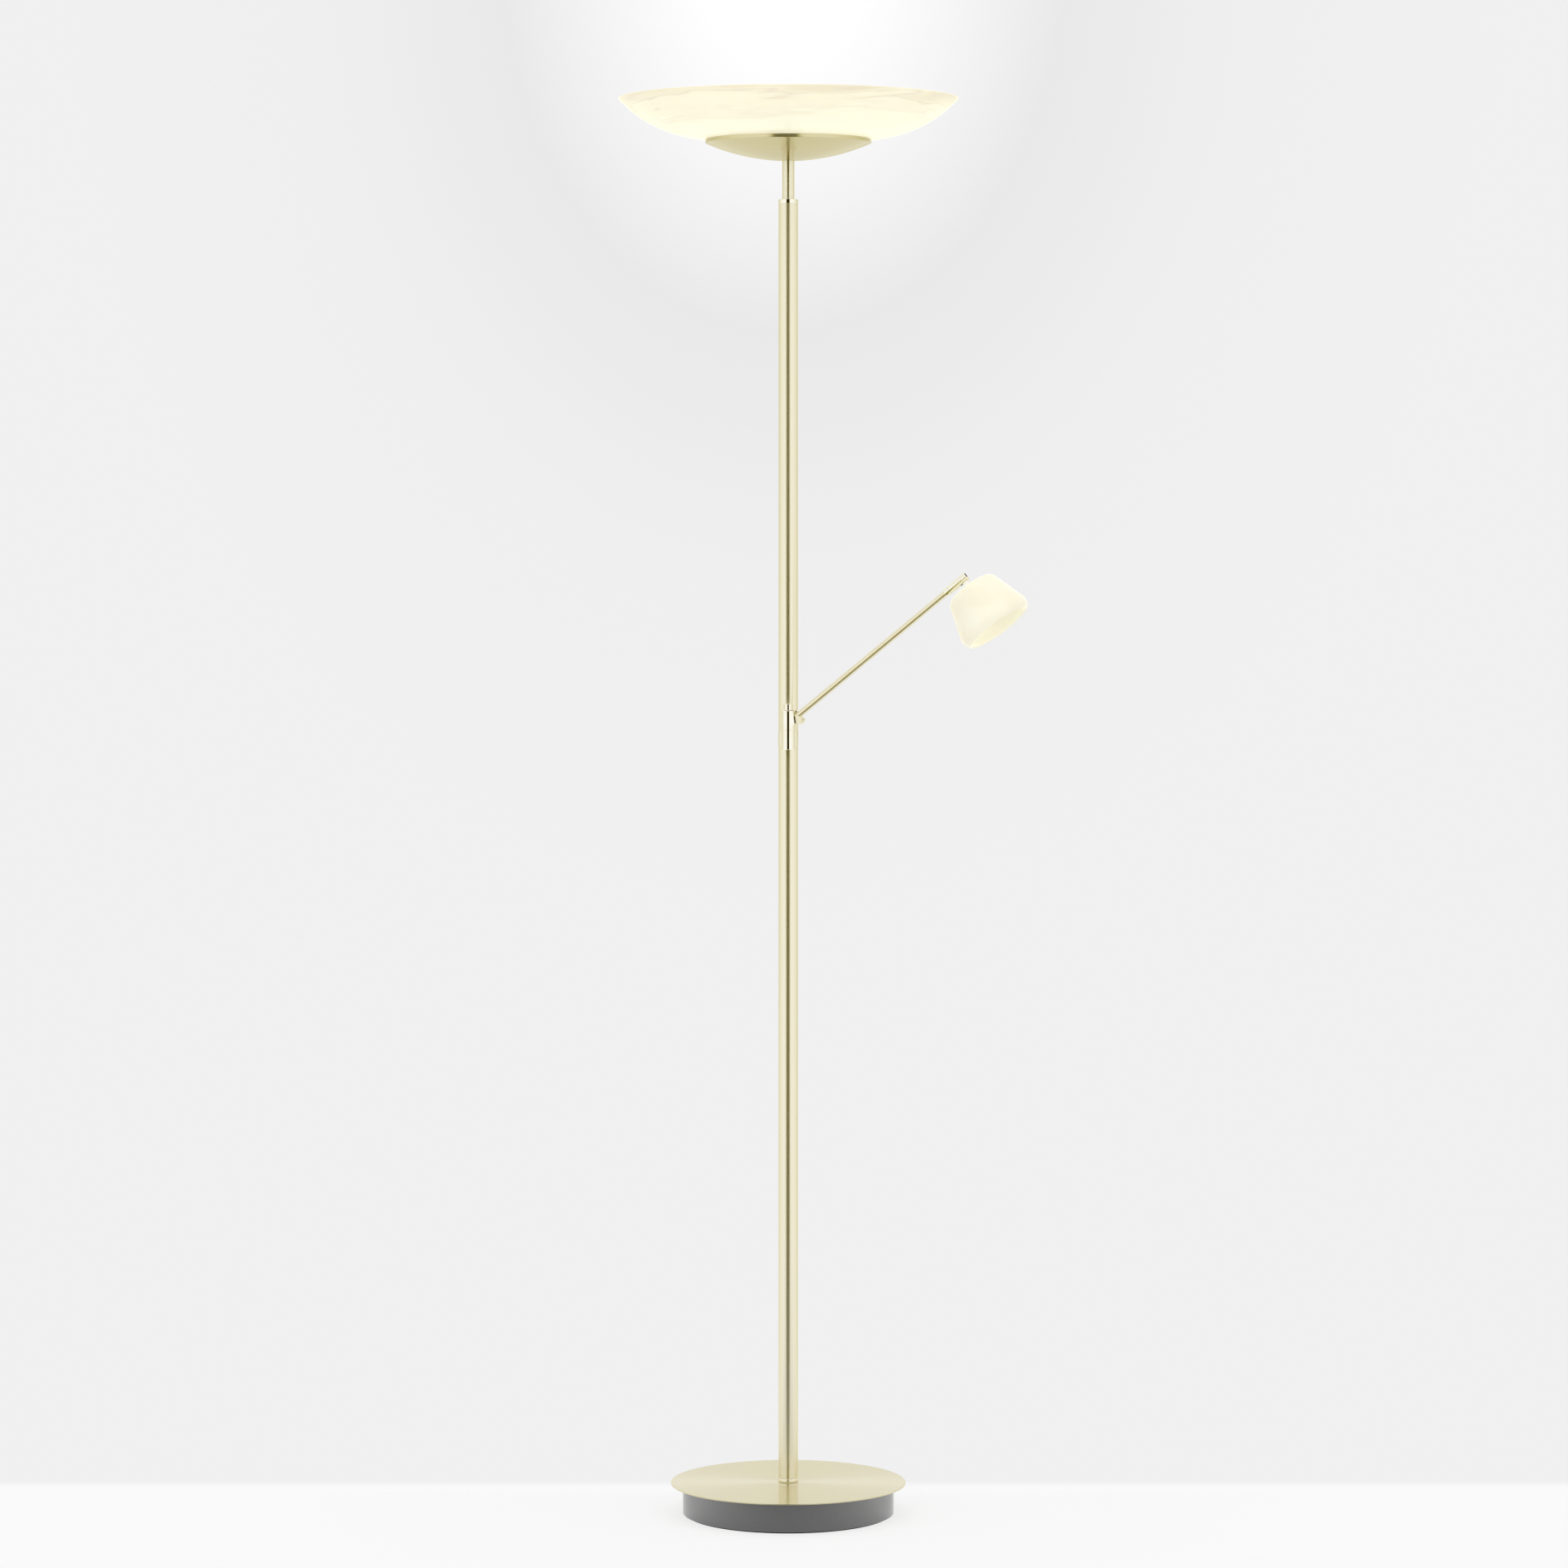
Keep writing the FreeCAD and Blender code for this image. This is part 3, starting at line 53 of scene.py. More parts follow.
# Camera: a long lens 6.4 m in front of the lamp and 1.27 m up, tipped down by three degrees, so that the base
# is seen from above and the bowl from below.
camera_height = 1.269
camera_distance = 6.44
camera_sideways = -0.00549
camera_dip = math.radians(2.974)
camera = bpy.data.objects.new("camera", bpy.data.cameras.new("camera"))
camera.data.sensor_width = 36
camera.data.lens = 116.57
camera.data.clip_end = 100
camera.location = (camera_sideways, -camera_distance, camera_height)
camera.rotation_euler = (math.pi / 2 - camera_dip, 0, 0)
scene.collection.objects.link(camera)
scene.camera = camera


# Studio: a pale floor that fades out around the lamp, a pale room, and a large soft lamp on each side of the
# camera with one more overhead. Metal mirrors a painted reflection, a room that only mirrored rays see, with a
# slot in it that draws the dark line down the brass.
def linear(colour, alpha=1.0):
    """The linear colour of an sRGB hex value."""
    steps = [int(colour[i:i + 2], 16) / 255 for i in (0, 2, 4)]
    return (*[s / 12.92 if s <= 0.04045 else ((s + 0.055) / 1.055) ** 2.4 for s in steps], alpha)


def add_node(tree, kind, links=None, values=None, stops=None, **settings):
    """Adds a node with its settings; values fills sockets, links joins them to outputs, stops fills a ramp."""
    node = tree.nodes.new(kind)
    for name, value in settings.items():
        setattr(node, name, value)
    for socket, value in (values or {}).items():
        node.inputs[socket].default_value = value
    for socket, output in (links or {}).items():
        tree.links.new(output, node.inputs[socket])
    if stops:
        elements = node.color_ramp.elements
        for place, _ in stops[1:-1]:
            elements.new(place)
        elements[0].position, elements[-1].position = stops[0][0], stops[-1][0]
        for element, (_, colour) in zip(elements, stops):
            element.color = linear(colour)
    return node


world = bpy.data.worlds.new("studio_room")
scene.world = world
world.use_nodes = True
room = world.node_tree
room.nodes.clear()
direction = add_node(room, "ShaderNodeTexCoord").outputs["Generated"]
along = add_node(room, "ShaderNodeSeparateXYZ", {"Vector": direction})
# painted light: the wall that the camera sees has a white glow painted above the bowl, with a greyer ring about
# it
glow_height = 0.11
glow_stretch = 0.75
glow_reach = 0.14
from_glow = add_node(
    room, "ShaderNodeVectorMath", {0: direction}, {1: (0, 0, glow_height)}, operation="SUBTRACT"
)
stretched = add_node(
    room, "ShaderNodeVectorMath", {0: from_glow.outputs[0]}, {1: (1, 0, glow_stretch)}, operation="MULTIPLY"
)
off_glow = add_node(room, "ShaderNodeVectorMath", {0: stretched.outputs[0]}, operation="LENGTH")
painted_glow_share = add_node(
    room, "ShaderNodeMapRange", {"Value": off_glow.outputs["Value"]}, {"From Min": 0.0, "From Max": glow_reach}
)
wall = add_node(
    room, "ShaderNodeValToRGB", {"Fac": painted_glow_share.outputs[0]},
    stops=[(0.0, "FFFFFF"), (0.12, "FFFFFF"), (0.25, "F5F5F5"), (0.39, "E9E9E9"), (0.65, "EFEFEF"),
           (1.0, "F0F0F0")],
)
# the wall meets the floor in a straight line behind the lamp, and in a round one seen from elsewhere
roundness = 0.97
wall_foot = -0.1906
floor_edge = -0.1918
level = add_node(room, "ShaderNodeVectorMath", {0: direction}, {1: (1, 1, 0)}, operation="MULTIPLY")
level_length = add_node(room, "ShaderNodeVectorMath", {0: level.outputs[0]}, operation="LENGTH")
round_reach = add_node(
    room, "ShaderNodeMath", {0: level_length.outputs["Value"]}, {1: roundness}, operation="MULTIPLY"
)
wall_reach = add_node(
    room, "ShaderNodeMath", {0: along.outputs["Y"], 1: round_reach.outputs[0]}, operation="MAXIMUM"
)
slope = add_node(room, "ShaderNodeMath", {0: along.outputs["Z"], 1: wall_reach.outputs[0]}, operation="DIVIDE")
floor_share = add_node(
    room, "ShaderNodeMapRange", {"Value": slope.outputs[0]}, {"From Min": wall_foot, "From Max": floor_edge}
)
seen = add_node(
    room, "ShaderNodeMixRGB", {"Fac": floor_share.outputs[0], "Color1": wall.outputs[0]},
    {"Color2": linear("FAFAFA")},
)
# painted reflection: metal and lacquer mirror a room of their own that only mirrored rays see, with a golden
# slot towards the camera, a bright white field on each side of it in place of the lamps, and a dimmer room that
# turns bright again straight behind the lamp
heading = add_node(room, "ShaderNodeVectorMath", {0: level.outputs[0]}, operation="NORMALIZE")
# the slot lies four degrees to the left of straight ahead
slot_turn = math.radians(4)
compass = add_node(
    room, "ShaderNodeVectorMath", {0: heading.outputs[0]}, {1: (math.sin(slot_turn), math.cos(slot_turn), 0)},
    operation="DOT_PRODUCT",
)
# the slot is wider near the floor and closes above the lamp
below = add_node(
    room, "ShaderNodeMapRange", {"Value": along.outputs["Z"]},
    {"From Min": -0.2, "From Max": -0.06, "To Min": 0.5, "To Max": 1.0},
)
above = add_node(
    room, "ShaderNodeMapRange", {"Value": along.outputs["Z"]},
    {"From Min": 0.22, "From Max": 0.5, "To Min": 0.0, "To Max": 9.0},
)
slot_squeeze = add_node(room, "ShaderNodeMath", {0: below.outputs[0], 1: above.outputs[0]}, operation="ADD")
ahead = add_node(
    room, "ShaderNodeMapRange", {"Value": compass.outputs["Value"]}, {"From Min": -1.0, "From Max": 1.0}
)
across_room = add_node(
    room, "ShaderNodeMath", {0: ahead.outputs[0], 1: slot_squeeze.outputs[0]}, operation="MULTIPLY"
)
mirrored = add_node(
    room, "ShaderNodeValToRGB", {"Fac": across_room.outputs[0]},
    stops=[(0.0, "9C923A"), (0.019, "A89D46"), (0.026, "D8CE90"), (0.033, "FAF7EA"), (0.05, "FFFFFF"),
           (0.3, "FCFBF6"), (0.55, "EEEBD8"), (0.78, "DED9BE"), (0.94, "DDD8C0"), (0.99, "F4F3EC")],
)
# in the painted reflection, near eye level and far below it the slot is nearly black, which polished metal
# shows and brushed metal blurs up and down into gold
height_share = add_node(
    room, "ShaderNodeMapRange", {"Value": along.outputs["Z"]}, {"From Min": -1.0, "From Max": 1.0}
)
level_share = add_node(
    room, "ShaderNodeValToRGB", {"Fac": height_share.outputs[0]},
    stops=[(0.17, "B4B4B4"), (0.22, "000000"), (0.33, "000000"), (0.38, "FFFFFF"), (0.57, "FFFFFF"),
           (0.61, "000000")],
)
dark_slot = add_node(
    room, "ShaderNodeValToRGB", {"Fac": across_room.outputs[0]},
    stops=[(0.0, "3C3722"), (0.018, "4C472C"), (0.026, "FFFFFF")],
)
shade_of_slot = add_node(
    room, "ShaderNodeMixRGB", {"Fac": level_share.outputs[0], "Color2": dark_slot.outputs[0]},
    {"Color1": (1, 1, 1, 1)},
)
painted_reflection = add_node(
    room, "ShaderNodeMixRGB", {"Color1": mirrored.outputs[0], "Color2": shade_of_slot.outputs[0]}, {"Fac": 1.0},
    blend_type="MULTIPLY",
)
rays = add_node(room, "ShaderNodeLightPath")
ambient = add_node(room, "ShaderNodeBackground", None, {"Color": linear("FFFFFF"), "Strength": 0.5})
seen_room = add_node(room, "ShaderNodeBackground", {"Color": seen.outputs[0]}, {"Strength": 1.0})
painted_reflection_room = add_node(room, "ShaderNodeBackground", {"Color": painted_reflection.outputs[0]}, {"Strength": 1.0})
direct = add_node(
    room, "ShaderNodeMath",
    {0: rays.outputs["Is Camera Ray"], 1: rays.outputs["Is Transmission Ray"]}, operation="MAXIMUM",
)
glossy_or_not = add_node(
    room, "ShaderNodeMixShader",
    {0: rays.outputs["Is Glossy Ray"], 1: ambient.outputs[0], 2: painted_reflection_room.outputs[0]},
)
room_light = add_node(
    room, "ShaderNodeMixShader",
    {0: direct.outputs[0], 1: glossy_or_not.outputs[0], 2: seen_room.outputs[0]},
)
add_node(room, "ShaderNodeOutputWorld", {"Surface": room_light.outputs[0]})


def soft_lamp(name, place, target, width, power):
    """A square soft box that faces its target. Metal doesn't mirror it, but the painted reflection's white
    fields in its place.
    """
    data = bpy.data.lights.new(name, "AREA")
    data.shape = "SQUARE"
    data.size = width
    data.energy = power
    lamp = bpy.data.objects.new(name, data)
    lamp.location = place
    lamp.rotation_euler = (Vector(target) - Vector(place)).to_track_quat("-Z", "Y").to_euler()
    lamp.visible_glossy = False
    scene.collection.objects.link(lamp)


side_angle = math.radians(44)
side_distance = 4.4
side_height = 1.25
lamp_middle = (0, 0, 1)
for name, side in (("left_soft_box", -1), ("right_soft_box", 1)):
    sideways, forwards = side * side_distance * math.sin(side_angle), -side_distance * math.cos(side_angle)
    soft_lamp(name, (sideways, forwards, side_height), lamp_middle, width=4.2, power=58)
soft_lamp("overhead_soft_box", (0, -0.4, 4.4), lamp_middle, width=3.2, power=52)

floor_radius = 1.6
floor_mesh = bmesh.new()
bmesh.ops.create_circle(floor_mesh, cap_ends=True, segments=96, radius=floor_radius)
floor_data = bpy.data.meshes.new("floor")
floor_mesh.to_mesh(floor_data)
floor_mesh.free()
floor = bpy.data.objects.new("floor", floor_data)
scene.collection.objects.link(floor)
pale_floor = bpy.data.materials.new("pale_studio_floor")
pale_floor.use_nodes = True
tree = pale_floor.node_tree
tree.nodes.clear()
place = add_node(tree, "ShaderNodeTexCoord").outputs["Object"]
# the floor fades out between 0.3 and 1 m from the pole
off_middle = add_node(tree, "ShaderNodeVectorMath", {0: place}, operation="LENGTH")
fade = add_node(
    tree, "ShaderNodeMapRange", {"Value": off_middle.outputs["Value"]},
    {"From Min": 0.3, "From Max": 1.0}, interpolation_type="SMOOTHSTEP",
)
# the wall stands 0.2 m behind the pole, and the floor ends there
apart = add_node(tree, "ShaderNodeSeparateXYZ", {"Vector": place})
near_wall = add_node(
    tree, "ShaderNodeMapRange", {"Value": apart.outputs["Y"]}, {"From Min": 0.08, "From Max": 0.2},
    interpolation_type="SMOOTHSTEP",
)
unseen = add_node(
    tree, "ShaderNodeMath", {0: fade.outputs["Result"], 1: near_wall.outputs["Result"]}, operation="MAXIMUM"
)
# three quarters of what the camera sees is plain white, and the rest keeps the lamp's shadow
plain_share = 0.75
rays = add_node(tree, "ShaderNodeLightPath")
part_bright = add_node(
    tree, "ShaderNodeMath", {0: rays.outputs["Is Camera Ray"]}, {1: plain_share}, operation="MULTIPLY"
)
matt = add_node(tree, "ShaderNodeBsdfDiffuse", None, {"Color": linear("F8F8F8")})
bright = add_node(tree, "ShaderNodeEmission", None, {"Color": linear("FFFFFF")})
lit = add_node(
    tree, "ShaderNodeMixShader", {0: part_bright.outputs[0], 1: matt.outputs[0], 2: bright.outputs[0]}
)
# painted shade: for mirrored rays the floor glows with a painted tone, darker on the camera's side and white
# behind, which the drum mirrors
from_pole = add_node(tree, "ShaderNodeVectorMath", {0: place}, operation="NORMALIZE")
way_off = add_node(tree, "ShaderNodeSeparateXYZ", {"Vector": from_pole.outputs[0]})
behind = add_node(
    tree, "ShaderNodeMapRange", {"Value": way_off.outputs["Y"]}, {"From Min": -1.0, "From Max": 1.0}
)
painted_floor_shade = add_node(
    tree, "ShaderNodeValToRGB", {"Fac": behind.outputs["Result"]},
    stops=[(0.0, "A8A8A8"), (0.18, "CBCBCB"), (0.45, "F2F2F2")],
)
shine = add_node(tree, "ShaderNodeEmission", {"Color": painted_floor_shade.outputs[0]})
floor_look = add_node(
    tree, "ShaderNodeMixShader", {0: rays.outputs["Is Glossy Ray"], 1: lit.outputs[0], 2: shine.outputs[0]}
)
gone = add_node(tree, "ShaderNodeBsdfTransparent")
faded = add_node(
    tree, "ShaderNodeMixShader", {0: unseen.outputs[0], 1: floor_look.outputs[0], 2: gone.outputs[0]}
)
add_node(tree, "ShaderNodeOutputMaterial", {"Surface": faded.outputs[0]})
floor.data.materials.append(pale_floor)

# Foot pad: a thin disc of black felt glued under the base, set back from the drum, so that it shows only as a
# thin black line on the floor. Felt is matt, with a fine nap.
MM = 0.001
sharp_angle = math.radians(42)
weld_gap = 1e-6


def start_outline(across, up):
    """A new mesh with the first corner of an outline in the XZ plane, in millimetres."""
    mesh = bmesh.new()
    return mesh, mesh.verts.new((across * MM, 0, up * MM))


def line_to(mesh, corner, *points):
    """Draws straight lines through the points and returns the last corner."""
    for across, up in points:
        following = mesh.verts.new((across * MM, 0, up * MM))
        mesh.edges.new((corner, following))
        corner = following
    return corner


def arc_to(mesh, corner, centre, degrees, steps):
    """Draws an arc about the centre, counter-clockwise seen with +X right and +Z up."""
    swept = bmesh.ops.spin(
        mesh, geom=[corner], cent=(centre[0] * MM, 0, centre[1] * MM), axis=(0, -1, 0),
        angle=math.radians(degrees), steps=steps,
    )
    return swept["geom_last"][0]


def close_outline(mesh, corner):
    """Draws the last line, back to the first corner."""
    mesh.verts.ensure_lookup_table()
    mesh.edges.new((corner, mesh.verts[0]))


def turn_outline(mesh, segments):
    """Turns the outline once round the Z axis and closes seams and poles."""
    bmesh.ops.spin(
        mesh, geom=mesh.verts[:] + mesh.edges[:], cent=(0, 0, 0), axis=(0, 0, 1),
        angle=math.tau, steps=segments, use_merge=True,
    )
    bmesh.ops.remove_doubles(mesh, verts=mesh.verts, dist=weld_gap)
    bmesh.ops.recalc_face_normals(mesh, faces=mesh.faces)


def round_edges(mesh, width, sharper_than=30, segments=3):
    """Breaks each edge that is sharper than the angle with a small round."""
    edges = [edge for edge in mesh.edges
             if len(edge.link_faces) == 2 and edge.calc_face_angle() > math.radians(sharper_than)]
    bmesh.ops.bevel(
        mesh, geom=edges, offset=width * MM, offset_type="OFFSET", affect="EDGES", segments=segments,
        profile=0.5, material=-1, clamp_overlap=True,
    )


def finish_piece(mesh, name, body, material, replaced):
    """Makes the mesh an object with its material that rides on a body in place of a CAD node."""
    for face in mesh.faces:
        face.smooth = True
    data = bpy.data.meshes.new(name)
    mesh.to_mesh(data)
    mesh.free()
    data.set_sharp_from_angle(angle=sharp_angle)
    piece = bpy.data.objects.new(name, data)
    scene.collection.objects.link(piece)
    data.materials.append(material)
    even_shading = piece.modifiers.new("even_shading", "WEIGHTED_NORMAL")
    even_shading.keep_sharp = True
    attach(piece, body)
    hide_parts(replaced)
    return piece


def new_material(name, **sockets):
    """A material with one shader, whose even values are set on the shader itself."""
    material = bpy.data.materials.new(name)
    material.use_nodes = True
    tree = material.node_tree
    tree.nodes.clear()
    values = {key.replace("_", " ").title().replace("Ior", "IOR"): value for key, value in sockets.items()}
    shader = add_node(tree, "ShaderNodeBsdfPrincipled", None, values)
    add_node(tree, "ShaderNodeOutputMaterial", {"Surface": shader.outputs[0]})
    place = add_node(tree, "ShaderNodeTexCoord").outputs["Object"]
    return material, tree, shader, place


def grained_finish(name, dark, pale, grain_mm, relief_mm, **sockets):
    """A finish whose colour and height vary together with one fine, even grain."""
    material, tree, shader, place = new_material(name, **sockets)
    grain = add_node(
        tree, "ShaderNodeTexNoise", {"Vector": place}, {"Scale": 1 / (grain_mm * MM), "Detail": 3.0}
    )
    tone = add_node(
        tree, "ShaderNodeValToRGB", {"Fac": grain.outputs["Fac"]}, stops=[(0.32, dark), (0.7, pale)]
    )
    relief = add_node(
        tree, "ShaderNodeBump", {"Height": grain.outputs["Fac"]}, {"Strength": 0.5, "Distance": relief_mm * MM}
    )
    tree.links.new(tone.outputs["Color"], shader.inputs["Base Color"])
    tree.links.new(relief.outputs["Normal"], shader.inputs["Normal"])
    return material


# wool felt: matt black, its nap about 1.2 mm
black_felt = grained_finish(
    "black_wool_felt", "0A0A0A", "1D1C1B", grain_mm=1.2, relief_mm=0.3, roughness=0.95, sheen_weight=0.4,
    sheen_roughness=0.6,
)
foot_lo, foot_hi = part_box("foot_pad")
mesh, corner = start_outline(0, foot_lo.z / MM)
line_to(
    mesh, corner,
    (foot_hi.x / MM, foot_lo.z / MM), (foot_hi.x / MM, foot_hi.z / MM), (0, foot_hi.z / MM),
)
turn_outline(mesh, segments=128)
round_edges(mesh, width=0.5)
finish_piece(mesh, "foot_felt", "stand", black_felt, "foot_pad")


# Steel parts: the plate under the base with its four screws, and the nuts, washers, spindle and threaded tubes
# that hold the lamp together. Zinc plating gives them a fine cool spangle.
def dress(material, *names):
    """Gives CAD nodes whose shape is right their material."""
    for name in names:
        nodes[name].data.materials.clear()
        nodes[name].data.materials.append(material)


zinc_steel = grained_finish(
    "zinc_plated_steel", "B4B8BC", "CDD0D1", grain_mm=6, relief_mm=0.03, metallic=1.0, roughness=0.38
)
dress(zinc_steel, "bottom_plate", "bottom_plate_screws", "driver_screws", "base_threaded_tube", "base_nut",
      "base_washer", "base_spacer", "swivel_spindle", "swivel_nut", "connector_grub_screw",
      "sleeve_retaining_clip", "dish_washer", "dish_nut", "uplight_threaded_tube", "led_board_screws",
      "top_nut", "bowl_post")

# Ballast: a raw iron casting that fills the lower half of the drum and keeps the lamp upright. Sand casting
# leaves a dark, coarse grain.
cast_iron = grained_finish(
    "raw_sand_cast_iron", "2E2D2C", "4C4A47", grain_mm=1.5, relief_mm=0.4, metallic=0.6, roughness=0.75
)
dress(cast_iron, "ballast_weight")

# Driver: the moulded white case of the power supply, screwed to the ballast by its two feet. Moulded
# polycarbonate is a warm white with a fine satin grain.
white_plastic = grained_finish(
    "white_moulded_polycarbonate", "E9E8E4", "F1F0ED", grain_mm=0.8, relief_mm=0.03, roughness=0.42
)
dress(white_plastic, "led_driver")

# Drum: a spun steel cup in dark grey stove lacquer, with the cable bush in its back wall. The clear top coat is
# smooth with a faint orange peel and mirrors the floor's painted shade, dark in front and white along the
# drum's sides.
grey_lacquer = grained_finish(
    "dark_grey_stove_lacquer", "464646", "4A4A4A", grain_mm=2.5, relief_mm=0.02, roughness=0.5,
    specular_ior_level=0.3, coat_weight=1.0, coat_roughness=0.04, coat_ior=2.6,
)
drum_wall = 1.2
drum_top = 1.5
bolt_hole = 6
drum_lo, drum_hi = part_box("base_drum")
drum_radius = drum_hi.x / MM
drum_height = drum_hi.z / MM
mesh, corner = start_outline(drum_radius, drum_lo.z / MM)
corner = line_to(
    mesh, corner,
    (drum_radius, drum_height), (bolt_hole, drum_height), (bolt_hole, drum_height - drum_top),
    (drum_radius - drum_wall, drum_height - drum_top), (drum_radius - drum_wall, drum_lo.z / MM),
)
close_outline(mesh, corner)
turn_outline(mesh, segments=128)
round_edges(mesh, width=0.4)
drum = finish_piece(mesh, "drum_lacquered", "stand", grey_lacquer, "base_drum")

gland_lo, gland_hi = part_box("cable_gland")
gland_height = (gland_lo.z + gland_hi.z) / 2
gland_neck = 4.05
drill_depth = 20
along_y = Matrix.Rotation(-math.pi / 2, 4, "X")
hole = bmesh.new()
bmesh.ops.create_cone(
    hole, cap_ends=True, segments=48, radius1=gland_neck * MM, radius2=gland_neck * MM,
    depth=drill_depth * MM,
    matrix=Matrix.Translation((0, drum_radius * MM, gland_height)) @ along_y,
)
hole_data = bpy.data.meshes.new("gland_hole_cutter")
hole.to_mesh(hole_data)
hole.free()
hole_cutter = bpy.data.objects.new("gland_hole_cutter", hole_data)
scene.collection.objects.link(hole_cutter)
drill = drum.modifiers.new("gland_hole", "BOOLEAN")
drill.object = hole_cutter
drill.solver = "EXACT"
with bpy.context.temp_override(object=drum, active_object=drum, selected_objects=[drum]):
    while drum.modifiers[0] != drill:
        bpy.ops.object.modifier_move_up(modifier=drill.name)
    bpy.ops.object.modifier_apply(modifier=drill.name)
bpy.data.objects.remove(hole_cutter)

# Cable bush: a moulded black nylon sleeve clipped into the drum's back wall, with a flange on each side. Its
# bore takes the mains cord. The dimmer's case inside the barrel is the same nylon.
black_nylon = grained_finish(
    "black_moulded_nylon", "141414", "1E1E1E", grain_mm=0.6, relief_mm=0.05, roughness=0.5
)
dress(black_nylon, "dimmer_unit")
bush_bore = 3.4
bush_flange = 6
bush_neck = gland_neck - 0.05
bush_wall = 1
inner_flange = 2
outer_flange = 3.5
bush_length = (gland_hi.y - gland_lo.y) / MM
mesh, corner = start_outline(bush_bore, 0)
corner = line_to(
    mesh, corner,
    (bush_flange, 0), (bush_flange, inner_flange), (bush_neck, inner_flange), (bush_neck, outer_flange),
    (bush_flange, outer_flange), (bush_bore + bush_wall, bush_length), (bush_bore, bush_length),
)
close_outline(mesh, corner)
turn_outline(mesh, segments=64)
round_edges(mesh, width=0.25)
mesh.transform(Matrix.Translation((0, gland_lo.y, gland_height)) @ along_y)
finish_piece(mesh, "cable_bush", "stand", black_nylon, "cable_gland")


# Cover disc: a brass sheet that lies on the drum and stands proud of it all round. It is brushed in circles
# under a clear lacquer, so light fans out from its centre and the pole mirrors in it as a soft band. The brush
# lines of disc, pole and dish are about 0.3 mm apart, drawn three times as coarse so that they show.
brush_mm = 0.9


def brushed_round(name, dark, pale, **sockets):
    """Brass brushed in circles about the Z axis: fine rings on a disc, fine hoops on a tube."""
    material, tree, shader, place = new_material(name, metallic=1.0, anisotropic_rotation=0.25, **sockets)
    round_z = add_node(tree, "ShaderNodeTangent", direction_type="RADIAL", axis="Z")
    parts = add_node(tree, "ShaderNodeSeparateXYZ", {"Vector": place})
    flat = add_node(tree, "ShaderNodeVectorMath", {0: place}, {1: (1, 1, 0)}, operation="MULTIPLY")
    radius = add_node(tree, "ShaderNodeVectorMath", {0: flat.outputs[0]}, operation="LENGTH")
    profile = add_node(tree, "ShaderNodeCombineXYZ", {"X": radius.outputs["Value"], "Z": parts.outputs["Z"]})
    lines = add_node(
        tree, "ShaderNodeTexNoise", {"Vector": profile.outputs[0]},
        {"Scale": 1 / (brush_mm * MM), "Detail": 4.0},
    )
    tone = add_node(tree, "ShaderNodeValToRGB", {"Fac": lines.outputs["Fac"]}, stops=[(0.3, dark), (0.7, pale)])
    relief = add_node(
        tree, "ShaderNodeBump", {"Height": lines.outputs["Fac"]}, {"Strength": 0.06, "Distance": 0.01 * MM}
    )
    tree.links.new(round_z.outputs[0], shader.inputs["Tangent"])
    tree.links.new(tone.outputs["Color"], shader.inputs["Base Color"])
    tree.links.new(relief.outputs["Normal"], shader.inputs["Normal"])
    return material


brushed_disc = brushed_round(
    "circle_brushed_brass", "E4DCB8", "E9E1C1", roughness=0.32, anisotropic=0.9, coat_weight=0.5,
    coat_roughness=0.06,
)


def turned_ring(name, node, inside, material, edge, segments=96):
    """A turned ring, tube or disc on the pole's axis, as wide and tall as its CAD node."""
    lo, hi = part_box(node)
    outside, foot, top = hi.x / MM, lo.z / MM, hi.z / MM
    mesh, corner = start_outline(inside, foot)
    corner = line_to(mesh, corner, (outside, foot), (outside, top), (inside, top))
    close_outline(mesh, corner)
    turn_outline(mesh, segments)
    round_edges(mesh, edge)
    finish_piece(mesh, name, "stand", material, node)


tube_hole = 5.1
turned_ring(
    "cover_disc_brushed", "base_cover_disc", tube_hole, brushed_disc, edge=0.4, segments=192
)

# Polished rings of the pole: a foot ring on the disc and a collar on top. Brass turned, polished and clear
# lacquered, so that it mirrors the painted reflection room nearly white with one crisp dark line.
polished_brass = grained_finish(
    "polished_lacquered_brass", "FAF6E6", "FEFCF3", grain_mm=25, relief_mm=0.001, metallic=1.0,
    roughness=0.05, coat_weight=0.2, coat_roughness=0.03,
)
stem_hole = 7.85
turned_ring("foot_ring_polished", "pole_foot_ring", tube_hole, polished_brass, edge=1.4)
turned_ring("top_collar_polished", "pole_top_collar", stem_hole, polished_brass, edge=0.5)

# Pole: four drawn brass tubes screwed together on couplers, belt brushed round their girth and clear lacquered.
# The brushing runs the painted reflection room's light into soft bands that keep crisp sides all the way up.
satin_brass = brushed_round(
    "satin_brushed_brass", "F6F0DA", "F8F3DF", roughness=0.27, anisotropic=0.95, coat_weight=0.1,
    coat_roughness=0.08,
)
pole_bore = 11.3
for node in ("lower_pole_tube", "middle_pole_tube", "upper_pole_tube", "top_pole_tube"):
    turned_ring(node.replace("tube", "satin"), node, pole_bore, satin_brass, edge=0.08)

# Couplers and plugs inside the pole, and the ring nut under the reading shade: plain turned brass, yellower
# than the lacquered parts, with fine tool marks.
turned_brass = grained_finish(
    "turned_bar_brass", "D2BC7A", "E0CD92", grain_mm=0.7, relief_mm=0.03, metallic=1.0, roughness=0.3
)
dress(turned_brass, "pole_foot_plug", "lower_pole_coupler", "upper_pole_coupler", "connector_coupler",
      "pole_top_plug", "shade_ring_nut")

# Feed cable: a round sheathed cable that runs up inside the pole from the driver to the light source. Soft PVC
# is smooth, a little translucent and greyish white.
cable_sheath = grained_finish(
    "white_pvc_sheath", "D9D8D3", "E3E2DE", grain_mm=3, relief_mm=0.02, roughness=0.45
)
dress(cable_sheath, "pole_feed_cable")


# Connector: a cast and polished brass ring in the line of the pole, with the fixed half of the swivel barrel on
# its front. A grub screw in its back holds it on the coupler inside.
flat_within = math.radians(0.6)


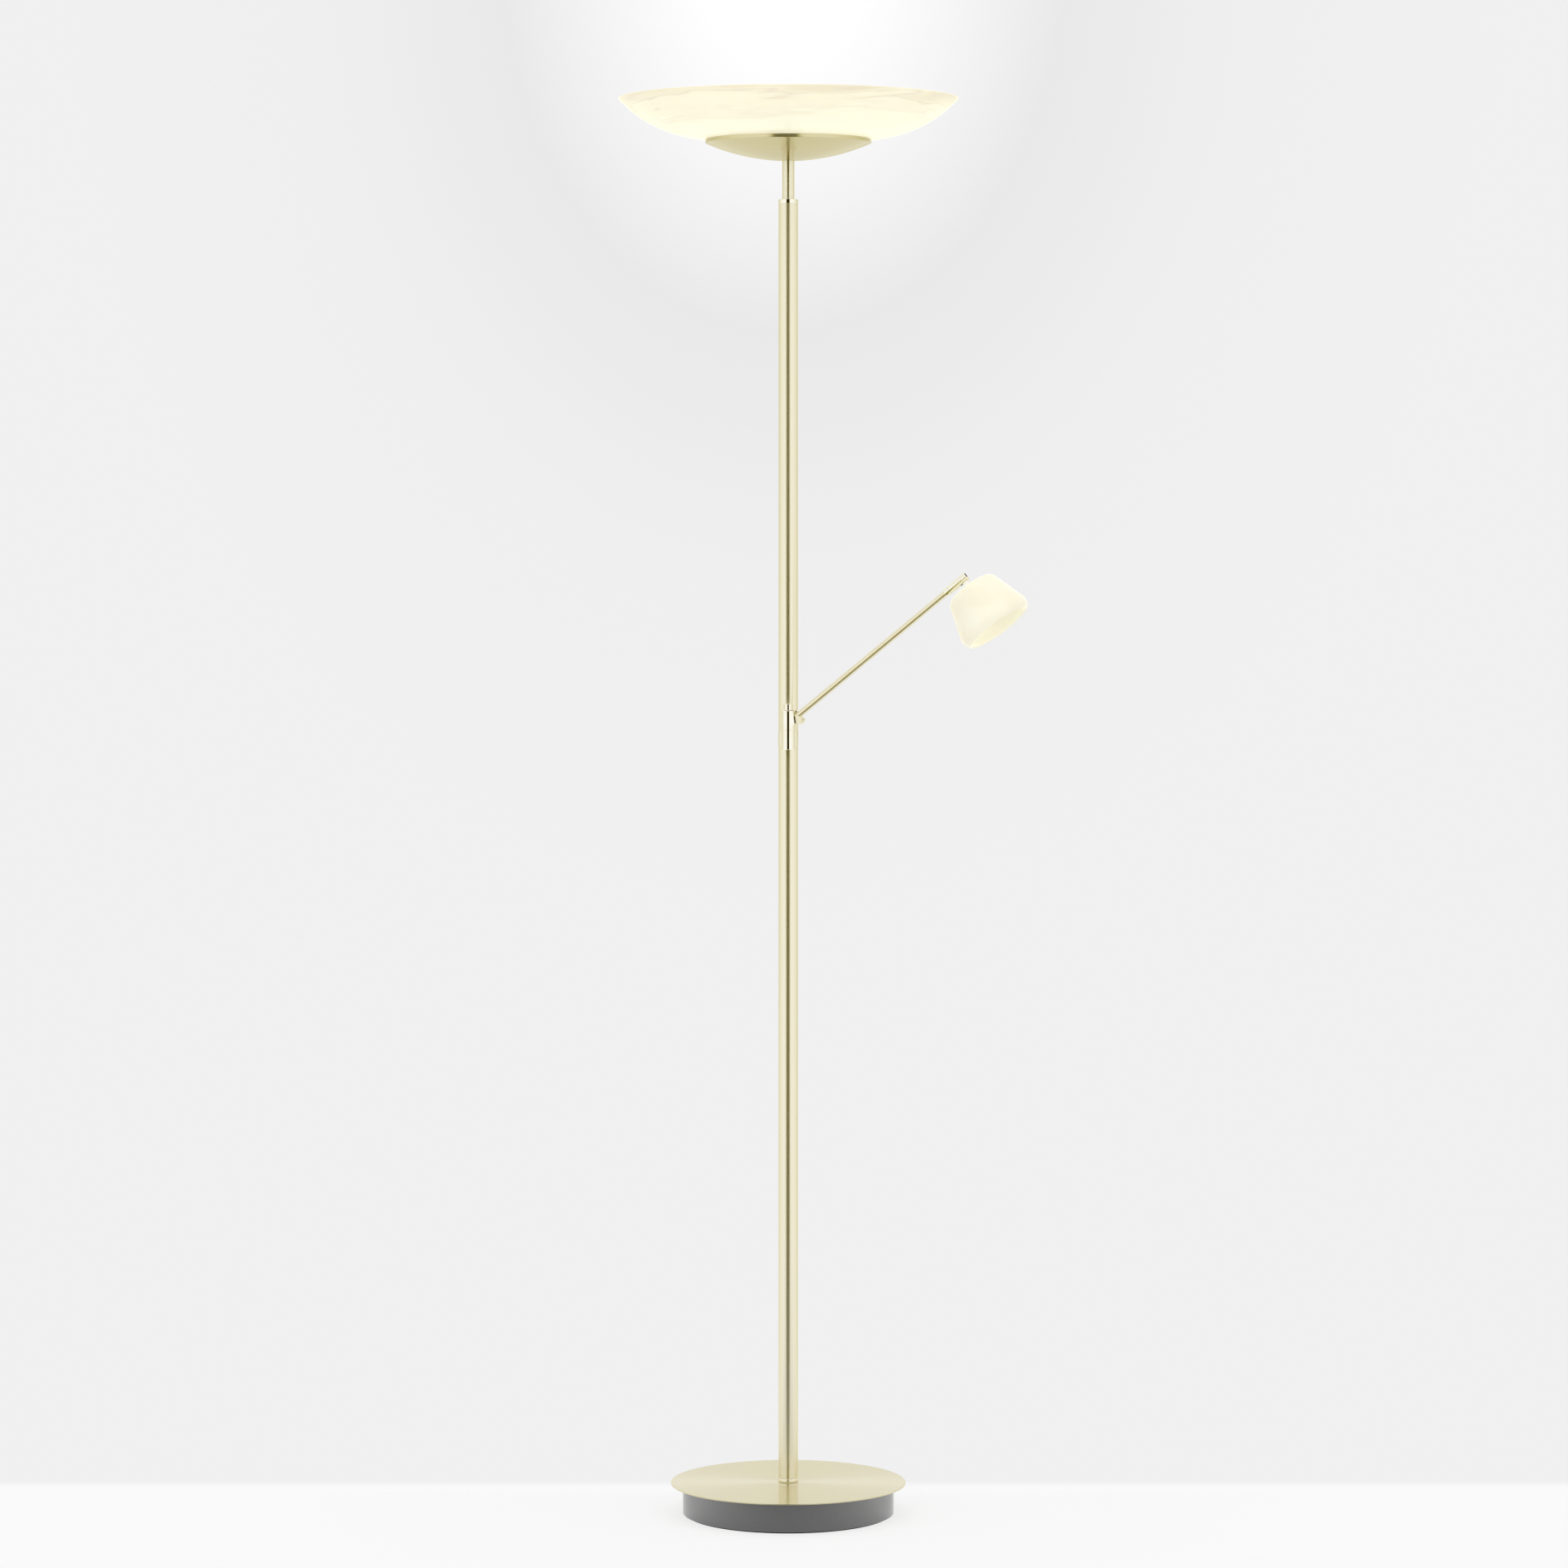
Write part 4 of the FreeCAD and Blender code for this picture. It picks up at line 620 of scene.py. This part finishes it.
def refined_copy(name, node, body, material, edge, segments=2):
    """A copy of a CAD node with its triangles merged, its edges broken and smooth curves."""
    mesh = bmesh.new()
    mesh.from_mesh(nodes[node].data)
    bmesh.ops.remove_doubles(mesh, verts=mesh.verts, dist=2 * weld_gap)
    bmesh.ops.dissolve_limit(
        mesh, angle_limit=flat_within, verts=mesh.verts, edges=mesh.edges, delimit={"NORMAL"}
    )
    round_edges(mesh, edge, sharper_than=35, segments=segments)
    finish_piece(mesh, name, body, material, node)


refined_copy("connector_polished", "pole_connector", "stand", polished_brass, edge=0.2)

# Barrel: the upper half, turned and milled from brass bar and polished. It turns on the connector's spindle and
# holds the arm between a short slanted cheek in front and a round ear behind.
refined_copy("barrel_polished", "swivel_barrel", "swivel", polished_brass, edge=0.2)
refined_copy("hinge_pin_polished", "arm_hinge_pin", "swivel", polished_brass, edge=0.2)

# Dimmer knob: a small turned brass cap on the dimmer's shaft, on top of the barrel. Its edge is well rounded
# for the fingers.
joints = {joint["name"]: joint for joint in frame["joints"]}
knob_height = 8.1
knob_shaft = 1.5
knob_radius = 6.1
knob_lo, knob_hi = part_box("dimmer_knob")
shaft_end, knob_top = knob_lo.z / MM, knob_hi.z / MM
mesh, corner = start_outline(0, shaft_end)
line_to(
    mesh, corner,
    (knob_shaft, shaft_end), (knob_shaft, knob_top - knob_height), (knob_radius, knob_top - knob_height),
    (knob_radius, knob_top), (0, knob_top),
)
turn_outline(mesh, segments=96)
round_edges(mesh, width=0.5)
barrel_axis = joints["arm_swivel"]["pos_m"]
mesh.transform(Matrix.Translation((barrel_axis[0], barrel_axis[1], 0)))
finish_piece(mesh, "knob_polished", "knob", polished_brass, "dimmer_knob")

# Reading arm: a thin brass tube, drawn, satin polished and lacquered, soldered on a knuckle that turns on the
# hinge pin, with a ring at its far end.
arm_brass = grained_finish(
    "drawn_lacquered_brass", "F1EACE", "F6F0DA", grain_mm=30, relief_mm=0.002, metallic=1.0, roughness=0.28,
    coat_weight=0.15, coat_roughness=0.06,
)
front = Vector(joints["arm_tilt"]["axis"])
arm_way = Vector(joints["head_twist"]["axis"])
arm_up = front.cross(arm_way)
hinge_point = Vector(joints["arm_tilt"]["pos_m"])
head_point = Vector(joints["head_tilt"]["pos_m"])


def frame_of(x_way, y_way, z_way, origin):
    """The matrix that takes a piece from its own axes to these."""
    matrix = Matrix((x_way, y_way, z_way)).transposed().to_4x4()
    matrix.translation = origin
    return matrix


# the arm's axis passes above the hinge pin, and its tube is as long as the CAD node
arm_rise = 5
arm_radius = 4
arm_bore = 3.2
arm_frame = frame_of(arm_up, front, arm_way, hinge_point) @ Matrix.Translation((arm_rise * MM, 0, 0))
reach = [(vertex.co - hinge_point).dot(arm_way) / MM for vertex in nodes["arm_tube"].data.vertices]
mesh, corner = start_outline(arm_bore, min(reach))
corner = line_to(
    mesh, corner, (arm_radius, min(reach)), (arm_radius, max(reach)), (arm_bore, max(reach))
)
close_outline(mesh, corner)
turn_outline(mesh, segments=64)
round_edges(mesh, width=0.05)
mesh.transform(arm_frame)
finish_piece(mesh, "arm_tube_satin", "arm", arm_brass, "arm_tube")
refined_copy("knuckle_polished", "arm_knuckle", "arm", arm_brass, edge=1.5, segments=6)
refined_copy("end_ring_polished", "arm_end_ring", "arm", polished_brass, edge=0.3)

# Sleeve of the head: a polished brass sleeve that turns about the end of the arm. Its slotted end holds the
# lug of the shade on a pin.
refined_copy("sleeve_polished", "head_sleeve", "sleeve", polished_brass, edge=0.15)
refined_copy("head_pin_polished", "head_pin", "sleeve", polished_brass, edge=0.25)

# Holder of the shade: a brass lug with a round flange on the glass, turned and milled and then polished. A ring
# nut under the glass clamps it.
refined_copy("holder_polished", "shade_holder", "reading_head", polished_brass, edge=0.3)


# Reading shade: a mouth blown opal glass cap, a blunt cone with a round shoulder, whose mouth curls in. Opal
# glass is milky all through and glossy, with faint warm clouds where it was gathered. Its veins sweep up and
# down by up to 90 mm over some 400 mm.
drift_mm = 400
sweep_mm = 90
warmest = 0.3


def streaked_opal(name, stops, streak_mm, squeeze, warm_rise, emission_strength):
    """Opal glass that is lit from within, with veins drawn out flat in the melt, warmer towards its top."""
    material, tree, shader, place = new_material(
        name, ior=1.5, roughness=0.2, specular_ior_level=0.2, subsurface_weight=0.3,
        subsurface_radius=(0.9, 0.85, 0.7), subsurface_scale=0.01, emission_color=linear("FFFDE4"),
        emission_strength=emission_strength,
    )
    drift = add_node(
        tree, "ShaderNodeTexNoise", {"Vector": place}, {"Scale": 1 / (drift_mm * MM), "Detail": 2.0}
    )
    rise = add_node(tree, "ShaderNodeMath", {0: drift.outputs["Fac"]}, {1: sweep_mm * MM}, operation="MULTIPLY")
    lift = add_node(tree, "ShaderNodeCombineXYZ", {"Z": rise.outputs[0]})
    drawn = add_node(tree, "ShaderNodeVectorMath", {0: place, 1: lift.outputs[0]}, operation="ADD")
    squeezed = add_node(tree, "ShaderNodeMapping", {"Vector": drawn.outputs[0]}, {"Scale": (1, 1, squeeze)})
    veins = add_node(
        tree, "ShaderNodeTexNoise", {"Vector": squeezed.outputs[0]},
        {"Scale": 1 / (streak_mm * MM), "Detail": 3.0},
    )
    height = add_node(tree, "ShaderNodeSeparateXYZ", {"Vector": place})
    warmer = add_node(
        tree, "ShaderNodeMapRange", {"Value": height.outputs["Z"]},
        {"From Min": warm_rise[0], "From Max": warm_rise[1], "To Min": 0.0, "To Max": warmest},
    )
    warmth = add_node(tree, "ShaderNodeMath", {0: veins.outputs["Fac"], 1: warmer.outputs[0]}, operation="ADD")
    tone = add_node(tree, "ShaderNodeValToRGB", {"Fac": warmth.outputs[0]}, stops=stops)
    tree.links.new(tone.outputs["Color"], shader.inputs["Base Color"])
    return material


opal_glass = streaked_opal(
    "blown_opal_glass", [(0.32, "C5C3B9"), (0.55, "C3BEB1"), (0.8, "C0B7A8")], streak_mm=45, squeeze=1.5,
    warm_rise=(1.0, 1.6), emission_strength=0.46,
)
shade_top = 14.3
shade_wall = 3.2
shade_hole = 5.2
shade_length = 66
shoulder_radius = 32.3
mouth_radius = 53
mouth_opening = 42.4
shoulder_round = 11.2
mouth_round = 14.3
eighth_turn = math.radians(45)
lean = math.atan2(mouth_radius - shoulder_radius, shade_length)
shoulder_middle = (shoulder_radius - shoulder_round * math.tan(eighth_turn - lean / 2), shoulder_round)
mouth_middle = (mouth_radius - mouth_round * math.tan(eighth_turn + lean / 2), shade_length - mouth_round)
mouth_curl = math.acos((mouth_opening - mouth_middle[0]) / mouth_round)
shoulder_turn = 90 - math.degrees(lean)
mouth_turn = math.degrees(lean + mouth_curl)


def on_round(middle, radius, angle):
    """A point on a round, by the angle from +X up."""
    return (middle[0] + radius * math.cos(angle), middle[1] + radius * math.sin(angle))


mesh, corner = start_outline(shade_hole, 0)
corner = line_to(mesh, corner, (shoulder_middle[0], 0))
corner = arc_to(mesh, corner, shoulder_middle, shoulder_turn, steps=14)
corner = line_to(mesh, corner, on_round(mouth_middle, mouth_round, -lean))
corner = arc_to(mesh, corner, mouth_middle, mouth_turn, steps=16)
corner = line_to(mesh, corner, on_round(mouth_middle, mouth_round - shade_wall, mouth_curl))
corner = arc_to(mesh, corner, mouth_middle, -mouth_turn, steps=16)
corner = line_to(mesh, corner, on_round(shoulder_middle, shoulder_round - shade_wall, -lean))
corner = arc_to(mesh, corner, shoulder_middle, -shoulder_turn, steps=14)
corner = line_to(mesh, corner, (shade_hole, shade_wall))
close_outline(mesh, corner)
turn_outline(mesh, segments=128)
round_edges(mesh, width=1.2)
head_frame = frame_of(arm_way, front, -arm_up, head_point)
mesh.transform(head_frame @ Matrix.Translation((0, 0, shade_top * MM)))
finish_piece(mesh, "shade_blown_glass", "reading_head", opal_glass, "reading_shade_glass")

# Light source of the reading head: a turned aluminium heat sink with cooling grooves, a white board and a
# frosted lens in a white bezel. The uplight's heat sink and board are made the same way.
turned_aluminium = grained_finish(
    "turned_aluminium", "C9CACC", "D6D7D8", grain_mm=0.8, relief_mm=0.03, metallic=1.0, roughness=0.35
)
dress(turned_aluminium, "uplight_heat_sink", "reading_heat_sink")
white_board = grained_finish("white_solder_mask", "EDEDEA", "F3F3F1", grain_mm=8, relief_mm=0.01, roughness=0.3)
dress(white_board, "uplight_led_board", "reading_led_board")
frosted_acrylic = grained_finish(
    "frosted_acrylic", "F4F1E6", "FAF8F0", grain_mm=0.7, relief_mm=0.03, roughness=0.5, ior=1.49,
    emission_color=linear("FFF4DA"), emission_strength=0.3,
)
refined_copy("lens_frosted", "reading_lens", "reading_head", frosted_acrylic, edge=0.3)
refined_copy("bezel_moulded", "reading_bezel", "reading_head", white_plastic, edge=0.3)

# Stem: a slim brass tube, finely brushed round and lacquered, that rises from the plug in the top of the pole
# and carries the dish. It is brighter than the pole, with a narrower dark line.
bright_brass = brushed_round(
    "bright_brushed_brass", "F2ECD4", "F6F1DE", roughness=0.24, anisotropic=0.95, coat_weight=0.1,
    coat_roughness=0.05,
)
stem_bore = 6.35
turned_ring("stem_bright", "uplight_stem", stem_bore, bright_brass, edge=0.05)

# Dish: a cap spun from brass sheet with a short upright lip, satin brushed in circles. The glass bowl lies in
# it on a soft ring.
brushed_dish = brushed_round(
    "circle_satin_spun_brass", "D8CFA6", "E0D8B4", roughness=0.22, anisotropic=0.9, coat_weight=0.1,
    coat_roughness=0.1,
)


def ball_rise(ball, radius):
    """How far a ball's surface has risen above its lowest point at this radius."""
    return ball - math.sqrt(ball ** 2 - radius ** 2)


def degrees_between(ball, inner, outer):
    """The angle of a ball's outline from one radius out to another."""
    return math.degrees(math.asin(outer / ball) - math.asin(inner / ball))


dish_radius = 105
dish_ball = 260
dish_wall = 1.2
dish_hole = 5.05
dish_lo, dish_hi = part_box("uplight_dish")
dish_foot, lip_top = dish_lo.z / MM, dish_hi.z / MM
dish_middle = (0, dish_foot + dish_ball - ball_rise(dish_ball, dish_hole))
inner_ball = dish_ball - dish_wall
inner_radius = dish_radius - dish_wall
mesh, corner = start_outline(dish_hole, dish_foot)
corner = arc_to(mesh, corner, dish_middle, degrees_between(dish_ball, dish_hole, dish_radius), steps=32)
corner = line_to(
    mesh, corner,
    (dish_radius, lip_top), (inner_radius, lip_top),
    (inner_radius, dish_middle[1] - inner_ball + ball_rise(inner_ball, inner_radius)),
)
corner = arc_to(mesh, corner, dish_middle, -degrees_between(inner_ball, dish_hole, inner_radius), steps=32)
close_outline(mesh, corner)
turn_outline(mesh, segments=192)
round_edges(mesh, width=0.35, sharper_than=20)
finish_piece(mesh, "dish_spun_satin", "stand", brushed_dish, "uplight_dish")

# Seat ring and cushion washer: clear silicone, between the brass and the glass. It is milky and soft, with a
# faint haze.
clear_silicone = grained_finish(
    "clear_silicone_rubber", "E6E4DC", "EFEDE6", grain_mm=5, relief_mm=0.02, roughness=0.4
)
dress(clear_silicone, "bowl_seat_ring", "bowl_cushion_washer")

# Glass bowl: opal glass slumped in a mould, a nearly flat floor with rounder sides and a flat ground rim. The
# melt is streaked like alabaster, with soft warm veins that sweep round the bowl.
bowl_lo, bowl_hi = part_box("uplight_glass_bowl")
streaked_glass = streaked_opal(
    "streaked_opal_glass",
    [(0.42, "D6D5C4"), (0.5, "D5D2BF"), (0.53, "C8C1B0"), (0.56, "D4CEBA"), (0.66, "D0C8B4"), (0.69, "B9AE9B"),
     (0.72, "CBC0AA"), (0.8, "BDB19A"), (0.9, "ADA088")],
    streak_mm=240, squeeze=13, warm_rise=(bowl_lo.z + 0.02, bowl_hi.z), emission_strength=0.49,
)
bowl_radius = 215
bowl_wall = 4
bowl_hole = 10
floor_ball = 725
side_ball = 150
turn_radius = 131
turn_angle = math.asin(turn_radius / floor_ball)
bowl_middle = (0, bowl_lo.z / MM + floor_ball - ball_rise(floor_ball, bowl_hole))
side_middle = on_round(bowl_middle, floor_ball - side_ball, turn_angle - math.pi / 2)
inner_side = side_ball - bowl_wall
rim_angle = math.asin((bowl_radius - side_middle[0]) / side_ball)
inner_rim_angle = math.acos(side_ball * math.cos(rim_angle) / inner_side)
inner_hole_angle = math.asin(bowl_hole / (floor_ball - bowl_wall))
mesh, corner = start_outline(bowl_hole, bowl_lo.z / MM)
corner = arc_to(mesh, corner, bowl_middle, degrees_between(floor_ball, bowl_hole, turn_radius), steps=20)
corner = arc_to(mesh, corner, side_middle, math.degrees(rim_angle - turn_angle), steps=28)
corner = line_to(mesh, corner, on_round(side_middle, inner_side, inner_rim_angle - math.pi / 2))
corner = arc_to(mesh, corner, side_middle, -math.degrees(inner_rim_angle - turn_angle), steps=28)
corner = arc_to(mesh, corner, bowl_middle, -math.degrees(turn_angle - inner_hole_angle), steps=20)
close_outline(mesh, corner)
turn_outline(mesh, segments=192)
round_edges(mesh, width=0.9)
finish_piece(mesh, "bowl_streaked_glass", "stand", streaked_glass, "uplight_glass_bowl")

# Opal cover of the light source: a moulded acrylic dome over the board on the bowl's floor. It glows evenly,
# so the board under it can't be seen.
dome_radius = 60
dome_wall = 2
dome_ball = 160
dome_skirt = 6
dome_lo, dome_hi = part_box("uplight_diffuser")
dome_middle = (0, dome_hi.z / MM - dome_ball)
inner_dome = dome_ball - dome_wall
inner_reach = dome_radius - dome_wall
mesh, outside = start_outline(dome_radius, dome_lo.z / MM)
inside = line_to(mesh, outside, (inner_reach, dome_lo.z / MM), on_round(
    dome_middle, inner_dome, math.acos(inner_reach / inner_dome)
))
arc_to(mesh, inside, dome_middle, degrees_between(inner_dome, 0, inner_reach), steps=16)
outside = line_to(mesh, outside, (dome_radius, dome_lo.z / MM + dome_skirt))
arc_to(mesh, outside, dome_middle, degrees_between(dome_ball, 0, dome_radius), steps=16)
turn_outline(mesh, segments=96)
round_edges(mesh, width=0.8)
finish_piece(mesh, "dome_frosted", "stand", frosted_acrylic, "uplight_diffuser")
